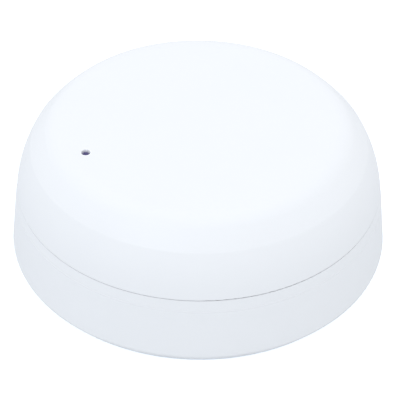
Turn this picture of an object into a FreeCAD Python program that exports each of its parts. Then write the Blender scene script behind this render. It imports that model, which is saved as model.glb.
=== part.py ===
# A round wireless glass break detector for a wall or ceiling.
# Millimetres, +Z points from the wall to the face, +X to the right of the face.
# The origin is the centre of the wall plate's back face.
import FreeCAD, Part
import math
import os

# The case, from the back face up
case_radius = 43.0          # widest circle, low on the rear housing
case_gap = 0.2              # running gap between the plate and the turning case

# Wall plate
plate_inset = 1.8           # the plate's edge stands in from the widest circle
plate_flange = 1.1          # thickness of the flange that shows below the case
plate_pad_inset = 3.0       # the raised pad that nests in the case's back, from the plate's edge
plate_pad_rise = 0.9
screw_spacing = 50.0        # between the two wall screws
screw_slot_width = 4.4
screw_slot_length = 9.0
screw_seat_width = 8.6      # recess for the screws' heads
screw_seat_depth = 1.0

# Bayonet between the plate and the rear housing
hook_count = 3
hook_first_angle = 90.0
hook_inset = 7.4            # from the pad's edge to the middle of each hook's stem
hook_stem = 2.0             # radial thickness
hook_width = 8.0            # degrees round the plate
hook_reach = 1.6            # the head reaches this much further in than the stem
hook_head = 1.3             # height of the head
hook_gap = 0.15             # above the housing's floor
hook_slot_gap = 0.25        # round the stem, across the slot
hook_end_gap = 0.8          # degrees at each end of the slot
twist_travel = 15.0         # degrees from locked to free

# Rear housing
floor_thickness = 1.8
housing_wall = 2.1
foot_round = 1.4            # rounding from the foot up to the widest circle
crease_height = 14.5        # a faint crease runs round the housing here
crease_inset = 1.2          # the wall leans in by this, from the widest circle to the crease
crease_step = 0.08          # and steps in by this
seam_height = 17.4          # middle of the gap between housing and cover
seam_gap = 0.1
seam_inset = 1.62           # the seam stands in from the widest circle
edge_round = 0.16           # softened edges on both sides of the seam
tongue_height = 2.0         # stands up inside the cover
tongue_thickness = 1.1
tongue_gap = 0.2
band_depth = 4.0            # thickened band that carries the tongue

# Front cover
cover_wall = 1.8
wall_lean_low = 7.3         # degrees from upright, at the seam
wall_lean_high = 28.8       # at the rim
rim_round = 1.5             # small rounding that draws the rim
rim_lean = 36.0             # where that rounding meets the shoulder
shoulder_round = 30.0       # the shoulder is a broad band, hardly curved
shoulder_lean = 46.0        # where the shoulder meets the crown's rounding
crown_round = 6.0           # from there up to the flat crown
tab_count = 3
tab_first_angle = 30.0
tab_width = 8.0
tab_thickness = 1.0
tab_drop = 2.9              # below the seam
tab_rise = 5.6              # above the seam, where the tab joins the wall
tab_gap = 0.25

# Microphone port, left of the crown
port_inset = 14.14          # from the seam's circle
port_angle = 204.6
port_radius = 1.05
port_land = 1.1             # thickness of the cover left round the hole
mesh_radius = 2.6
mesh_thickness = 0.3
mesh_gap = 0.1
collar_wall = 1.4
collar_length = 3.6
boot_gap = 0.2
boot_wall = 0.8
boot_top_gap = 0.3
capsule_radius = 3.0
capsule_height = 2.7
capsule_lead_radius = 0.25
capsule_lead_pitch = 2.0
pedestal_base_radius = 5.2
pedestal_base_height = 1.6
pedestal_bore_gap = 0.15    # round the leads

# Board
board_room = 1.2            # from the tongue in to the board's edge
board_thickness = 1.6
board_height = 11.0         # underside of the board above the back face
board_flat = 1.4            # depth of the two flats on the board's left and right
boss_count = 3
boss_first_angle = 30.0
boss_inset = 3.8            # from the board's edge to each screw
boss_radius = 2.9
boss_hole_depth = 6.0
screw_shank = 1.0
screw_fit = 0.05            # round the shank, in the boss
screw_board_gap = 0.3       # round the shank, in the board
screw_length = 5.5          # below the board's top
screw_head_radius = 2.0
screw_head_height = 1.4
screw_cross_width = 0.5
screw_cross_length = 2.2
screw_cross_depth = 0.7

# Battery, lying flat above the middle of the board
cell_radius = 7.8
cell_length = 26.1          # the can, without its terminal
cell_round = 0.8
terminal_radius = 3.0
terminal_length = 0.9
cell_y = 11.2
cell_headroom = 1.85        # under the crown
holder_floor = 1.4
holder_wall = 1.4
cell_gap = 0.25
holder_side_height = 9.5    # side walls above the holder's floor
spring_space = 2.6          # for the coiled contact
leaf_thickness = 0.4
leaf_width = 8.0
spring_wire = 0.35          # radius of the wire
spring_big = 4.2
spring_small = 2.2
spring_turns = 3
finger_cut_width = 12.0     # dip in the side walls for fingers
finger_cut_depth = 4.5

# Radio and control
shield_x = 12.5
shield_y = -9.0
shield_length = 14.0
shield_width = 11.0
shield_height = 2.6
shield_wall = 0.25
radio_chip_size = 5.0
radio_chip_height = 0.9
control_x = -5.5
control_y = -8.5
control_size = 7.0
control_height = 1.1
lead_count = 8              # on each side of the control chip
lead_pitch = 0.8
lead_width = 0.35
lead_reach = 1.0
lead_thickness = 0.2
amp_gap = 0.6               # from the microphone's pedestal
amp_shift = 4.0             # towards +Y from the microphone
amp_length = 5.0
amp_width = 3.9
amp_height = 1.5
crystal_x = -5.5
crystal_y = -17.0
crystal_length = 5.0
crystal_width = 3.2
crystal_height = 1.0
aerial_inset = 2.8          # the wire follows the board's edge
aerial_wire_radius = 0.5
aerial_rise = 5.0
aerial_start = 282.0
aerial_end = 348.0

# Learn button
button_inset = 8.5          # from the board's edge
button_angle = 345.8
button_body = 6.0
button_body_height = 3.4
button_cap_radius = 1.7
button_cap_rise = 1.6
button_cap_round = 0.3
button_travel = 0.25
button_gap = 0.08
button_well = 1.2

# Sensitivity switch with two sliders
dip_x = 15.0
dip_y = -21.5
dip_length = 6.6
dip_width = 6.2
dip_height = 3.0
dip_count = 2
dip_pitch = 2.54
slider_size = 1.2
slider_travel = 1.5
slider_gap = 0.06
slider_rise = 0.5
slider_well = 1.2

# Small parts on the board
led_x = 5.5
led_y = -21.0
led_pitch = 4.0
led_size = 1.6
led_height = 1.0
can_cap_radius = 3.15
can_cap_height = 5.8
can_cap_round = 0.5
can_cap_count = 2
can_cap_x = -20.5
can_cap_y = -21.0
can_cap_step_x = 7.2
can_cap_step_y = 4.2
header_x = -7.5
header_y = -25.0
header_pins = 5
header_pitch = 2.54
header_width = 2.5
header_height = 2.5
pin_size = 0.64
pin_rise = 5.8
chip_length = 1.6
chip_width = 0.8
chip_height = 0.6
chip_row_x = -6.0
chip_row_y = -2.2
chip_row_pitch = 3.0
chip_row_count = 5
resistor_row_y = -28.0
resistor_row_x = 7.0
resistor_row_count = 4

# Tamper plunger, through the floor and the plate to the wall
plunger_circle_radius = 21.0
plunger_angle = 285.0
plunger_radius = 1.2
plunger_hole_gap = 0.1
plunger_collar_radius = 2.6
plunger_collar_height = 0.7
plunger_travel = 1.5        # outwards, when the wall goes away
plunger_overtravel = 0.3    # inwards
plunger_stop_gap = 0.05
plunger_slot_gap = 0.5      # in the plate
tamper_switch_size = 7.0
tamper_switch_height = 2.6
plunger_top_gap = 0.4
tamper_spring_wire = 0.2
tamper_spring_turns = 3
tamper_spring_gap = 0.1

overlap = 0.4               # how far fused pieces and cuts run past their faces
tiny = 0.001                # closeness of two heights that are the same

# Heights and radii that follow
plate_radius = case_radius - plate_inset
plate_pad_radius = plate_radius - plate_pad_inset
hook_radius = plate_pad_radius - hook_inset
seam_radius = case_radius - seam_inset
plate_top = plate_flange + plate_pad_rise
foot_z = plate_flange + case_gap
floor_bottom = plate_top + case_gap
floor_top = floor_bottom + floor_thickness
housing_top = seam_height - seam_gap / 2
cover_bottom = seam_height + seam_gap / 2
board_top = board_height + board_thickness
cell_axis_z = board_top + holder_floor + cell_gap + cell_radius
case_depth = cell_axis_z + cell_radius + cell_headroom + cover_wall

os.makedirs("parts", exist_ok=True)


def vec(x, y, z):
    return FreeCAD.Vector(x, y, z)


def cylinder(x, y, low, high, radius):
    return Part.makeCylinder(radius, high - low, vec(x, y, low))


def block(x0, x1, y0, y1, z0, z1):
    return Part.makeBox(x1 - x0, y1 - y0, z1 - z0, vec(x0, y0, z0))


def centred(x, y, length, width, low, high):
    return block(x - length / 2, x + length / 2, y - width / 2, y + width / 2, low, high)


def polar(radius, degrees):
    turn = math.radians(degrees)
    return radius * math.cos(turn), radius * math.sin(turn)


def turned(shape, degrees):
    copy = shape.copy()
    copy.rotate(vec(0, 0, 0), vec(0, 0, 1), degrees)
    return copy


def ring_sector(inner, outer, low, high, start, sweep):
    """A block bent round Z, from one angle on through a sweep, in degrees."""
    a = vec(inner, 0, low)
    b = vec(outer, 0, low)
    c = vec(outer, 0, high)
    d = vec(inner, 0, high)
    face = Part.Face(Part.makePolygon([a, b, c, d, a]))
    return turned(face.revolve(vec(0, 0, 0), vec(0, 0, 1), sweep), start)


def revolved(start, steps):
    """Turn an outline round Z. A step is an end point, or a point on an arc and its end point."""
    here = vec(start[0], 0, start[1])
    edges = []
    for step in steps:
        end = vec(step[-2], 0, step[-1])
        if len(step) == 2:
            edges.append(Part.LineSegment(here, end).toShape())
        else:
            edges.append(Part.Arc(here, vec(step[0], 0, step[1]), end).toShape())
        here = end
    face = Part.Face(Part.Wire(edges))
    return face.revolve(vec(0, 0, 0), vec(0, 0, 1), 360)


def slot(x, y, length, width, low, high):
    """A straight slot with round ends, along X."""
    half = (length - width) / 2
    middle = centred(x, y, 2 * half, width, low, high)
    left = cylinder(x - half, y, low, high, width / 2)
    right = cylinder(x + half, y, low, high, width / 2)
    return middle.fuse([left, right])


def rim_rounded(shape, height, radius):
    """Round the circle that lies at the top of an upright cylinder."""
    rim = [edge for edge in shape.Edges if abs(edge.BoundBox.ZMin - height) < tiny]
    return shape.makeFillet(radius, rim[:1])


def arc_middle(a, tangent, b):
    """The middle of the arc that leaves a along a tangent and ends at b."""
    chord = b - a
    along = vec(*chord).normalize()
    across = tangent - along * tangent.dot(along)
    turn = math.acos(max(-1.0, min(1.0, tangent.dot(along))))
    sagitta = chord.Length / 2 * math.tan(turn / 2)
    return (a + b) / 2 + across.normalize() * sagitta


def coil(first_radius, last_radius, height, turns, wire):
    """A round wire wound up Z from z = 0, on pairs of arcs of a quarter turn."""
    quarters = 4 * turns
    points = []
    tangents = []
    for i in range(quarters + 1):
        share = i / quarters
        angle = 2 * math.pi * turns * share
        radius = first_radius + (last_radius - first_radius) * share
        grow = (last_radius - first_radius) / (2 * math.pi * turns)
        rise = height / (2 * math.pi * turns)
        points.append(vec(radius * math.cos(angle), radius * math.sin(angle), height * share))
        tangent = vec(grow * math.cos(angle) - radius * math.sin(angle),
                      grow * math.sin(angle) + radius * math.cos(angle), rise)
        tangents.append(tangent.normalize())
    edges = []
    for i in range(quarters):
        a, b, s, t = points[i], points[i + 1], tangents[i], tangents[i + 1]
        reach = b - a
        both = s + t
        spread = 2 * (1 - s.dot(t))
        along = reach.dot(both)
        d = (math.sqrt(along * along + spread * reach.dot(reach)) - along) / spread
        joint = (a + b + (s - t) * d) / 2
        edges.append(Part.Arc(a, arc_middle(a, s, joint), joint).toShape())
        edges.append(Part.Arc(joint, arc_middle(b, t * -1, joint), b).toShape())
    section = Part.Wire(Part.Circle(points[0], tangents[0], wire).toShape())
    return Part.Wire(edges).makePipeShell([section], True, False)


def save(name, *shapes):
    """Write one sub-part, as one solid or as a group of separate solids."""
    solids = [solid for shape in shapes for solid in shape.Solids]
    bad = [solid for solid in solids if not solid.isValid() or solid.Volume <= 0]
    print(name, len(solids), "solids", round(sum(s.Volume for s in solids), 2), "mm3", "BAD" if bad else "")
    whole = solids[0] if len(solids) == 1 else Part.makeCompound(solids)
    whole.exportStep("parts/" + name + ".step")


def cover_profile():
    """The cover's outer arcs: centres, radii and the ends of each, in r and z."""
    low, high, rim, turn = [math.radians(lean) for lean in
                            (wall_lean_low, wall_lean_high, rim_lean, shoulder_lean)]
    rises = (rim_round * (math.sin(rim) - math.sin(high)), shoulder_round * (math.sin(turn) - math.sin(rim)),
             crown_round * (1 - math.sin(turn)))
    rim_height = case_depth - sum(rises)
    wall = (rim_height - cover_bottom) / (math.sin(high) - math.sin(low))
    bends = (wall, low, high), (rim_round, high, rim), (shoulder_round, rim, turn), (crown_round, turn, math.pi / 2)
    r, z = seam_radius, cover_bottom
    arcs = []
    for bend, start, end in bends:
        centre = (r - bend * math.cos(start), z - bend * math.sin(start))
        arcs.append((centre, bend, start, end))
        r, z = centre[0] + bend * math.cos(end), centre[1] + bend * math.sin(end)
    return arcs


def on_arc(arc, lean, inward=0.0):
    centre, radius = arc[0], arc[1] - inward
    return centre[0] + radius * math.cos(lean), centre[1] + radius * math.sin(lean)


def cover_outer_height(radius):
    """Height of the cover's outer face at a radius on the shoulder or the crown."""
    shoulder, crown = cover_profile()[2:]
    if radius <= crown[0][0]:
        return case_depth
    centre, bend = (shoulder if radius > shoulder[0][0] + shoulder[1] * math.cos(shoulder[3]) else crown)[:2]
    return centre[1] + math.sqrt(bend * bend - (radius - centre[0]) ** 2)


def tongue_radii():
    """Outer and inner radius of the tongue, inside the cover's leaning wall."""
    wall = cover_profile()[0]
    top = housing_top + tongue_height
    lean = math.asin((top - wall[0][1]) / (wall[1] - cover_wall))
    outer = on_arc(wall, lean, cover_wall)[0] - tongue_gap
    return outer, outer - tongue_thickness


# The board fits inside the tongue, and its screws, aerial and learn button keep to its edge
tongue_out, tongue_in = tongue_radii()
board_radius = tongue_in - board_room
boss_circle_radius = board_radius - boss_inset
aerial_radius = board_radius - aerial_inset
button_x, button_y = polar(board_radius - button_inset, button_angle)

# Where the microphone's pieces sit, from the top down
port_reach = seam_radius - port_inset
port_x, port_y = polar(port_reach, port_angle)
land_z = cover_outer_height(port_reach) - port_land
mesh_bottom = land_z - mesh_thickness
boot_radius = capsule_radius + boot_wall
collar_bore = boot_radius + boot_gap
boot_top = cover_outer_height(port_reach + collar_bore) - port_land - boot_top_gap
collar_top = boot_top + boot_top_gap
capsule_top = boot_top - boot_wall
capsule_bottom = capsule_top - capsule_height
collar_bottom = collar_top - collar_length


def front_cover():
    wall, corner, shoulder, crown = cover_profile()
    low, high, rim, turn, end = wall[2], wall[3], corner[3], shoulder[3], crown[3]
    low_inside = math.asin((cover_bottom - wall[0][1]) / (wall[1] - cover_wall))
    seam_in = on_arc(wall, low_inside, cover_wall)
    join_a = on_arc(wall, high, cover_wall)
    join_b = on_arc(shoulder, rim, cover_wall)
    join = ((join_a[0] + join_b[0]) / 2, (join_a[1] + join_b[1]) / 2)
    edge_lean = low + edge_round / wall[1]
    edge_up = on_arc(wall, edge_lean)
    edge_in = (seam_radius - edge_round, cover_bottom)
    edge_mid = (seam_radius - 0.25 * edge_round, cover_bottom + 0.3 * edge_round)
    steps = [
        (*on_arc(wall, (edge_lean + high) / 2), *on_arc(wall, high)),
        (*on_arc(corner, (high + rim) / 2), *on_arc(corner, rim)),
        (*on_arc(shoulder, (rim + turn) / 2), *on_arc(shoulder, turn)),
        (*on_arc(crown, (turn + end) / 2), *on_arc(crown, end)),
        (0, case_depth),
        (0, case_depth - cover_wall),
        on_arc(crown, end, cover_wall),
        (*on_arc(crown, (turn + end) / 2, cover_wall), *on_arc(crown, turn, cover_wall)),
        (*on_arc(shoulder, (rim + turn) / 2, cover_wall), *join),
        (*on_arc(wall, (low_inside + high) / 2, cover_wall), *seam_in),
        edge_in,
        (*edge_mid, *edge_up),
    ]
    shell = revolved(edge_up, steps)
    collar = cylinder(port_x, port_y, collar_bottom, cover_outer_height(port_reach) - port_land / 2,
                      collar_bore + collar_wall)
    outside = revolved(edge_up, steps[:5] + [(0, cover_bottom), edge_in, (*edge_mid, *edge_up)])
    shape = shell.fuse(collar.common(outside))
    for i in range(tab_count):
        tab = block(tongue_in + tab_gap, tongue_in + tab_gap + tab_thickness, -tab_width / 2, tab_width / 2,
                    seam_height - tab_drop, seam_height + tab_rise)
        shape = shape.fuse(turned(tab, tab_first_angle + i * 360 / tab_count))
    shape = shape.cut(cylinder(port_x, port_y, collar_bottom - overlap, collar_top, collar_bore))
    shape = shape.cut(cylinder(port_x, port_y, collar_top - overlap, land_z, mesh_radius + mesh_gap))
    shape = shape.cut(cylinder(port_x, port_y, land_z - overlap, case_depth + overlap, port_radius))
    save("front_cover", shape)


def hook_slots():
    """Through slots in the floor: a narrow run for each stem, and a wide entry for its head."""
    cuts = []
    inner = hook_radius - hook_stem / 2 - hook_slot_gap
    outer = hook_radius + hook_stem / 2 + hook_slot_gap
    for i in range(hook_count):
        middle = hook_first_angle + i * 360 / hook_count
        start = middle - hook_width / 2 - twist_travel - hook_end_gap
        sweep = hook_width + twist_travel + 2 * hook_end_gap
        low = floor_bottom - overlap
        high = floor_top + overlap
        cuts.append(ring_sector(inner, outer, low, high, start, sweep))
        cuts.append(ring_sector(inner - hook_reach, outer, low, high, start, hook_width + 2 * hook_end_gap))
    return cuts


def rear_housing():
    foot_radius = case_radius - foot_round
    bulge = foot_z + foot_round
    quarter = foot_round * math.sin(math.radians(45))
    nest = plate_pad_radius + case_gap
    low_wall = case_radius - crease_inset
    top_r = seam_radius - edge_round
    band_r = low_wall - crease_step - housing_wall
    band_low = housing_top - band_depth
    steps = [
        (nest, floor_bottom),
        (nest, foot_z),
        (foot_radius, foot_z),
        (foot_radius + quarter, bulge - quarter, case_radius, bulge),
        (low_wall, crease_height),
        (low_wall - crease_step, crease_height + crease_step),
        (seam_radius, housing_top - edge_round),
        (seam_radius - 0.25 * edge_round, housing_top - 0.3 * edge_round, top_r, housing_top),
        (tongue_out, housing_top),
        (tongue_out, housing_top + tongue_height),
        (tongue_in, housing_top + tongue_height),
        (tongue_in, band_low),
        (band_r, band_low - (band_r - tongue_in)),
        (case_radius - housing_wall, floor_top),
        (0, floor_top),
        (0, floor_bottom),
    ]
    shape = revolved((0, floor_bottom), steps)
    for i in range(boss_count):
        x, y = polar(boss_circle_radius, boss_first_angle + i * 360 / boss_count)
        shape = shape.fuse(cylinder(x, y, floor_top - overlap, board_height, boss_radius))
    for i in range(boss_count):
        x, y = polar(boss_circle_radius, boss_first_angle + i * 360 / boss_count)
        shape = shape.cut(cylinder(x, y, board_height - boss_hole_depth, board_height + overlap,
                                   screw_shank + screw_fit))
    for cut in hook_slots():
        shape = shape.cut(cut)
    for i in range(tab_count):
        notch = block(tongue_in - overlap, tongue_in + 2 * tab_gap + tab_thickness,
                      -tab_width / 2 - tab_gap, tab_width / 2 + tab_gap,
                      seam_height - tab_drop - tab_gap, housing_top + tongue_height + overlap)
        shape = shape.cut(turned(notch, tab_first_angle + i * 360 / tab_count))
    x, y = polar(plunger_circle_radius, plunger_angle)
    shape = shape.cut(cylinder(x, y, floor_bottom - overlap, floor_top + overlap,
                               plunger_radius + plunger_hole_gap))
    save("rear_housing", shape)


def wall_plate():
    shape = cylinder(0, 0, 0, plate_flange, plate_radius)
    shape = shape.fuse(cylinder(0, 0, 0, plate_top, plate_pad_radius))
    for side in (-1, 1):
        x = side * screw_spacing / 2
        shape = shape.cut(slot(x, 0, screw_slot_length, screw_slot_width, -overlap, plate_top + overlap))
        seat_length = screw_slot_length + screw_seat_width - screw_slot_width
        shape = shape.cut(slot(x, 0, seat_length, screw_seat_width, plate_top - screw_seat_depth,
                               plate_top + overlap))
    clear = plunger_radius + plunger_slot_gap
    spare = math.degrees(plunger_slot_gap / plunger_circle_radius)
    path = ring_sector(plunger_circle_radius - clear, plunger_circle_radius + clear, -overlap,
                       plate_top + overlap, plunger_angle - spare, twist_travel + 2 * spare)
    shape = shape.cut(path)
    for end in (plunger_angle, plunger_angle + twist_travel):
        x, y = polar(plunger_circle_radius, end)
        shape = shape.cut(cylinder(x, y, -overlap, plate_top + overlap, clear))
    inner = hook_radius - hook_stem / 2
    outer = hook_radius + hook_stem / 2
    head_low = floor_top + hook_gap
    for i in range(hook_count):
        start = hook_first_angle + i * 360 / hook_count - hook_width / 2
        head_top = head_low + hook_head
        stem = ring_sector(inner, outer, plate_top - overlap, head_top, start, hook_width)
        head = ring_sector(inner - hook_reach, outer, head_low, head_top, start, hook_width)
        shape = shape.fuse([stem, head])
    save("wall_plate", shape)


def main_board():
    shape = cylinder(0, 0, board_height, board_top, board_radius)
    flat = board_radius - board_flat
    shape = shape.common(centred(0, 0, 2 * flat, 2 * board_radius, board_height, board_top))
    for i in range(boss_count):
        x, y = polar(boss_circle_radius, boss_first_angle + i * 360 / boss_count)
        shape = shape.cut(cylinder(x, y, board_height - overlap, board_top + overlap,
                                   screw_shank + screw_board_gap))
    save("main_board", shape)


def board_screws():
    screws = []
    head_top = board_top + screw_head_height
    for i in range(boss_count):
        x, y = polar(boss_circle_radius, boss_first_angle + i * 360 / boss_count)
        screw = cylinder(x, y, board_top, head_top, screw_head_radius)
        screw = screw.fuse(cylinder(x, y, board_top - screw_length, board_top + overlap, screw_shank))
        low = head_top - screw_cross_depth
        high = head_top + overlap
        screw = screw.cut(centred(x, y, screw_cross_length, screw_cross_width, low, high))
        screws.append(screw.cut(centred(x, y, screw_cross_width, screw_cross_length, low, high)))
    save("board_screws", *screws)


def microphone():
    save("acoustic_mesh", cylinder(port_x, port_y, mesh_bottom, land_z, mesh_radius))
    save("mic_capsule", cylinder(port_x, port_y, capsule_bottom, capsule_top, capsule_radius))
    boot = cylinder(port_x, port_y, capsule_bottom, boot_top, boot_radius)
    boot = boot.cut(cylinder(port_x, port_y, capsule_bottom - overlap, capsule_top, capsule_radius))
    save("mic_boot", boot.cut(cylinder(port_x, port_y, capsule_top - overlap, boot_top + overlap,
                                       port_radius)))
    stand = cylinder(port_x, port_y, board_top, capsule_bottom, boot_radius)
    stand = stand.fuse(cylinder(port_x, port_y, board_top, board_top + pedestal_base_height,
                                pedestal_base_radius))
    leads = []
    for side in (-1, 1):
        x = port_x + side * capsule_lead_pitch / 2
        stand = stand.cut(cylinder(x, port_y, board_top - overlap, capsule_bottom + overlap,
                                   capsule_lead_radius + pedestal_bore_gap))
        leads.append(cylinder(x, port_y, board_top, capsule_bottom, capsule_lead_radius))
    save("mic_pedestal", stand)
    save("mic_leads", *leads)


def battery():
    half = cell_length / 2
    left = -half
    can = Part.makeCylinder(cell_radius, cell_length, vec(left, cell_y, cell_axis_z), vec(1, 0, 0))
    rims = [edge for edge in can.Edges if edge.BoundBox.XLength < tiny]
    save("battery_cell", can.makeFillet(cell_round, rims))
    save("battery_terminal", Part.makeCylinder(terminal_radius, terminal_length,
                                               vec(half, cell_y, cell_axis_z), vec(1, 0, 0)))
    low = board_top
    floor = low + holder_floor
    inner_left = left - spring_space - leaf_thickness
    inner_right = half + terminal_length + leaf_thickness
    inside = cell_radius + cell_gap
    x0 = inner_left - holder_wall
    x1 = inner_right + holder_wall
    y0 = cell_y - inside - holder_wall
    y1 = cell_y + inside + holder_wall
    top = floor + holder_side_height
    end_top = cell_axis_z + leaf_width / 2 + holder_wall
    past = end_top + overlap
    shape = block(x0, x1, y0, y1, low, end_top)
    shape = shape.cut(block(inner_left, inner_right, cell_y - inside, cell_y + inside, floor, past))
    shape = shape.cut(block(inner_left, inner_right, y0 - overlap, y1 + overlap, top, past))
    shape = shape.cut(centred(0, cell_y, finger_cut_width, 4 * inside, top - finger_cut_depth, top + overlap))
    save("battery_holder", shape)
    leaf_top = cell_axis_z + leaf_width / 2
    leaf_front = cell_y - leaf_width / 2
    leaf_back = cell_y + leaf_width / 2
    save("contact_positive", block(inner_right - leaf_thickness, inner_right, leaf_front, leaf_back,
                                   floor, leaf_top))
    save("contact_negative", block(inner_left, inner_left + leaf_thickness, leaf_front, leaf_back,
                                   floor, leaf_top))
    height = spring_space - 2 * spring_wire
    winding = coil(spring_big, spring_small, height, spring_turns, spring_wire)
    winding.rotate(vec(0, 0, 0), vec(0, 1, 0), 90)
    winding.translate(vec(inner_left + leaf_thickness + spring_wire, cell_y, cell_axis_z))
    save("contact_spring", winding)


def radio():
    can = centred(shield_x, shield_y, shield_length, shield_width, board_top, board_top + shield_height)
    can = can.cut(centred(shield_x, shield_y, shield_length - 2 * shield_wall, shield_width - 2 * shield_wall,
                          board_top - overlap, board_top + shield_height - shield_wall))
    save("radio_shield", can)
    save("radio_chip", centred(shield_x, shield_y, radio_chip_size, radio_chip_size, board_top,
                               board_top + radio_chip_height))
    wire_z = board_top + aerial_rise
    loop = Part.makeTorus(aerial_radius, aerial_wire_radius, vec(0, 0, wire_z), vec(0, 0, 1), 0, 360,
                          aerial_end - aerial_start)
    loop.rotate(vec(0, 0, 0), vec(0, 0, 1), aerial_start)
    pieces = []
    for end in (aerial_start, aerial_end):
        x, y = polar(aerial_radius, end)
        leg = cylinder(x, y, board_top, wire_z, aerial_wire_radius)
        pieces.append(leg.fuse(Part.makeSphere(aerial_wire_radius, vec(x, y, wire_z))))
    save("aerial_wire", loop.fuse(pieces))


def chips():
    body = centred(control_x, control_y, control_size, control_size, board_top, board_top + control_height)
    save("control_chip", body)
    leads = []
    outer = control_size / 2
    for side in range(4):
        for i in range(lead_count):
            place = (i - (lead_count - 1) / 2) * lead_pitch
            lead = block(outer, outer + lead_reach, place - lead_width / 2, place + lead_width / 2, board_top,
                         board_top + lead_thickness)
            lead = turned(lead, 90 * side)
            lead.translate(vec(control_x, control_y, 0))
            leads.append(lead)
    save("control_chip_leads", *leads)
    amp_x = port_x + pedestal_base_radius + amp_gap + amp_width / 2
    save("microphone_amplifier", centred(amp_x, port_y + amp_shift, amp_width, amp_length, board_top,
                                         board_top + amp_height))
    save("crystal", centred(crystal_x, crystal_y, crystal_length, crystal_width, board_top,
                            board_top + crystal_height))


def learn_button():
    top = board_top + button_body_height
    body = centred(button_x, button_y, button_body, button_body, board_top, top)
    body = body.cut(cylinder(button_x, button_y, top - button_well, top + overlap,
                             button_cap_radius + button_gap))
    save("learn_switch", body)
    low = top - button_well + button_travel + button_gap
    cap = cylinder(button_x, button_y, low, top + button_cap_rise, button_cap_radius)
    save("learn_button", rim_rounded(cap, top + button_cap_rise, button_cap_round))


def sensitivity_switch():
    top = board_top + dip_height
    body = centred(dip_x, dip_y, dip_length, dip_width, board_top, top)
    well_low = top - slider_well
    run = slider_size + slider_travel + 2 * slider_gap
    for i in range(dip_count):
        x = dip_x + (i - (dip_count - 1) / 2) * dip_pitch
        body = body.cut(centred(x, dip_y, slider_size + 2 * slider_gap, run, well_low, top + overlap))
        rest_y = dip_y - slider_travel / 2
        slider = centred(x, rest_y, slider_size, slider_size, well_low + slider_gap, top + slider_rise)
        save("sensitivity_slider_" + str(i + 1), slider)
    save("sensitivity_switch", body)


def small_parts():
    leds = []
    for i in range(2):
        leds.append(centred(led_x, led_y - i * led_pitch, led_size, led_size, board_top,
                            board_top + led_height))
    save("status_leds", *leds)
    cans = []
    for i in range(can_cap_count):
        x = can_cap_x + i * can_cap_step_x
        y = can_cap_y + i * can_cap_step_y
        can = cylinder(x, y, board_top, board_top + can_cap_height, can_cap_radius)
        cans.append(rim_rounded(can, board_top + can_cap_height, can_cap_round))
    save("can_capacitors", *cans)
    chips = []
    for i in range(chip_row_count):
        x = chip_row_x + i * chip_row_pitch
        chips.append(centred(x, chip_row_y, chip_length, chip_width, board_top, board_top + chip_height))
    save("chip_capacitors", *chips)
    resistors = []
    for i in range(resistor_row_count):
        x = resistor_row_x + i * chip_row_pitch
        resistors.append(centred(x, resistor_row_y, chip_length, chip_width, board_top,
                                 board_top + chip_height))
    save("chip_resistors", *resistors)
    length = header_pins * header_pitch
    body = centred(header_x, header_y, length, header_width, board_top, board_top + header_height)
    pins = []
    for i in range(header_pins):
        x = header_x + (i - (header_pins - 1) / 2) * header_pitch
        body = body.cut(centred(x, header_y, pin_size, pin_size, board_top - overlap,
                                board_top + header_height + overlap))
        pins.append(centred(x, header_y, pin_size, pin_size, board_top, board_top + header_height + pin_rise))
    save("service_header", body)
    save("header_pins", *pins)


def tamper():
    x, y = polar(plunger_circle_radius, plunger_angle)
    switch_low = board_height - tamper_switch_height
    body = centred(x, y, tamper_switch_size, tamper_switch_size, switch_low, board_height)
    top = board_height - plunger_top_gap - plunger_overtravel
    bore = plunger_radius + plunger_hole_gap
    body = body.cut(cylinder(x, y, switch_low - overlap, top + plunger_overtravel + plunger_stop_gap, bore))
    save("tamper_switch", body)
    collar_low = floor_top + plunger_travel + plunger_stop_gap
    collar_high = collar_low + plunger_collar_height
    stem = cylinder(x, y, 0, top, plunger_radius)
    save("tamper_plunger", stem.fuse(cylinder(x, y, collar_low, collar_high, plunger_collar_radius)))
    low = collar_high + tamper_spring_wire + plunger_overtravel
    high = switch_low - tamper_spring_wire - tamper_spring_gap
    winding_radius = plunger_radius + tamper_spring_gap + tamper_spring_wire
    winding = coil(winding_radius, winding_radius, high - low, tamper_spring_turns, tamper_spring_wire)
    winding.translate(vec(x, y, low))
    save("tamper_spring", winding)


front_cover()
rear_housing()
wall_plate()
main_board()
board_screws()
microphone()
battery()
radio()
chips()
learn_button()
sensitivity_switch()
small_parts()
tamper()
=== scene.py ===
# A round glass break detector lying on its back, as it comes out of the box.
# Metres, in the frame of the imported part: the wall plate's back is at z = 0 and the face looks up.
# The sections follow the way the detector is put together, from the wall plate to the cover.
import math

import bmesh
import bpy
from mathutils import Matrix, Vector


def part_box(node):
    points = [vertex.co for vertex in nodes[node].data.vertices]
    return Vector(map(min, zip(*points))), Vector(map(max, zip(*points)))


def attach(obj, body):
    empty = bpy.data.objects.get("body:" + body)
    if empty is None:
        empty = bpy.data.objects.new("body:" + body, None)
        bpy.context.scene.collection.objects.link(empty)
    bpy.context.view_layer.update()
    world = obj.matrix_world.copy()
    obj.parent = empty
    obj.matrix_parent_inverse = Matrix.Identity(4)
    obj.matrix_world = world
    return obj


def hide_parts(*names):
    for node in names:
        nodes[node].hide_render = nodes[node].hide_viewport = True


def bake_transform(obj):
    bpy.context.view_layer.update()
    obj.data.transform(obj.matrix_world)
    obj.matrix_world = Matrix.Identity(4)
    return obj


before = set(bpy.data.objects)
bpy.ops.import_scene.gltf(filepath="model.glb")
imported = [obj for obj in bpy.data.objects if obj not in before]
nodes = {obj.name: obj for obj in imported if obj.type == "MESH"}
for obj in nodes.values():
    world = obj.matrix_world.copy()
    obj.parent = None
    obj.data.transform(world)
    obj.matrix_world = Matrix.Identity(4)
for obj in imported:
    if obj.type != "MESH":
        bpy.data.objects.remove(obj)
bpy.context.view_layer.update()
MM = 0.001

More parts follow.
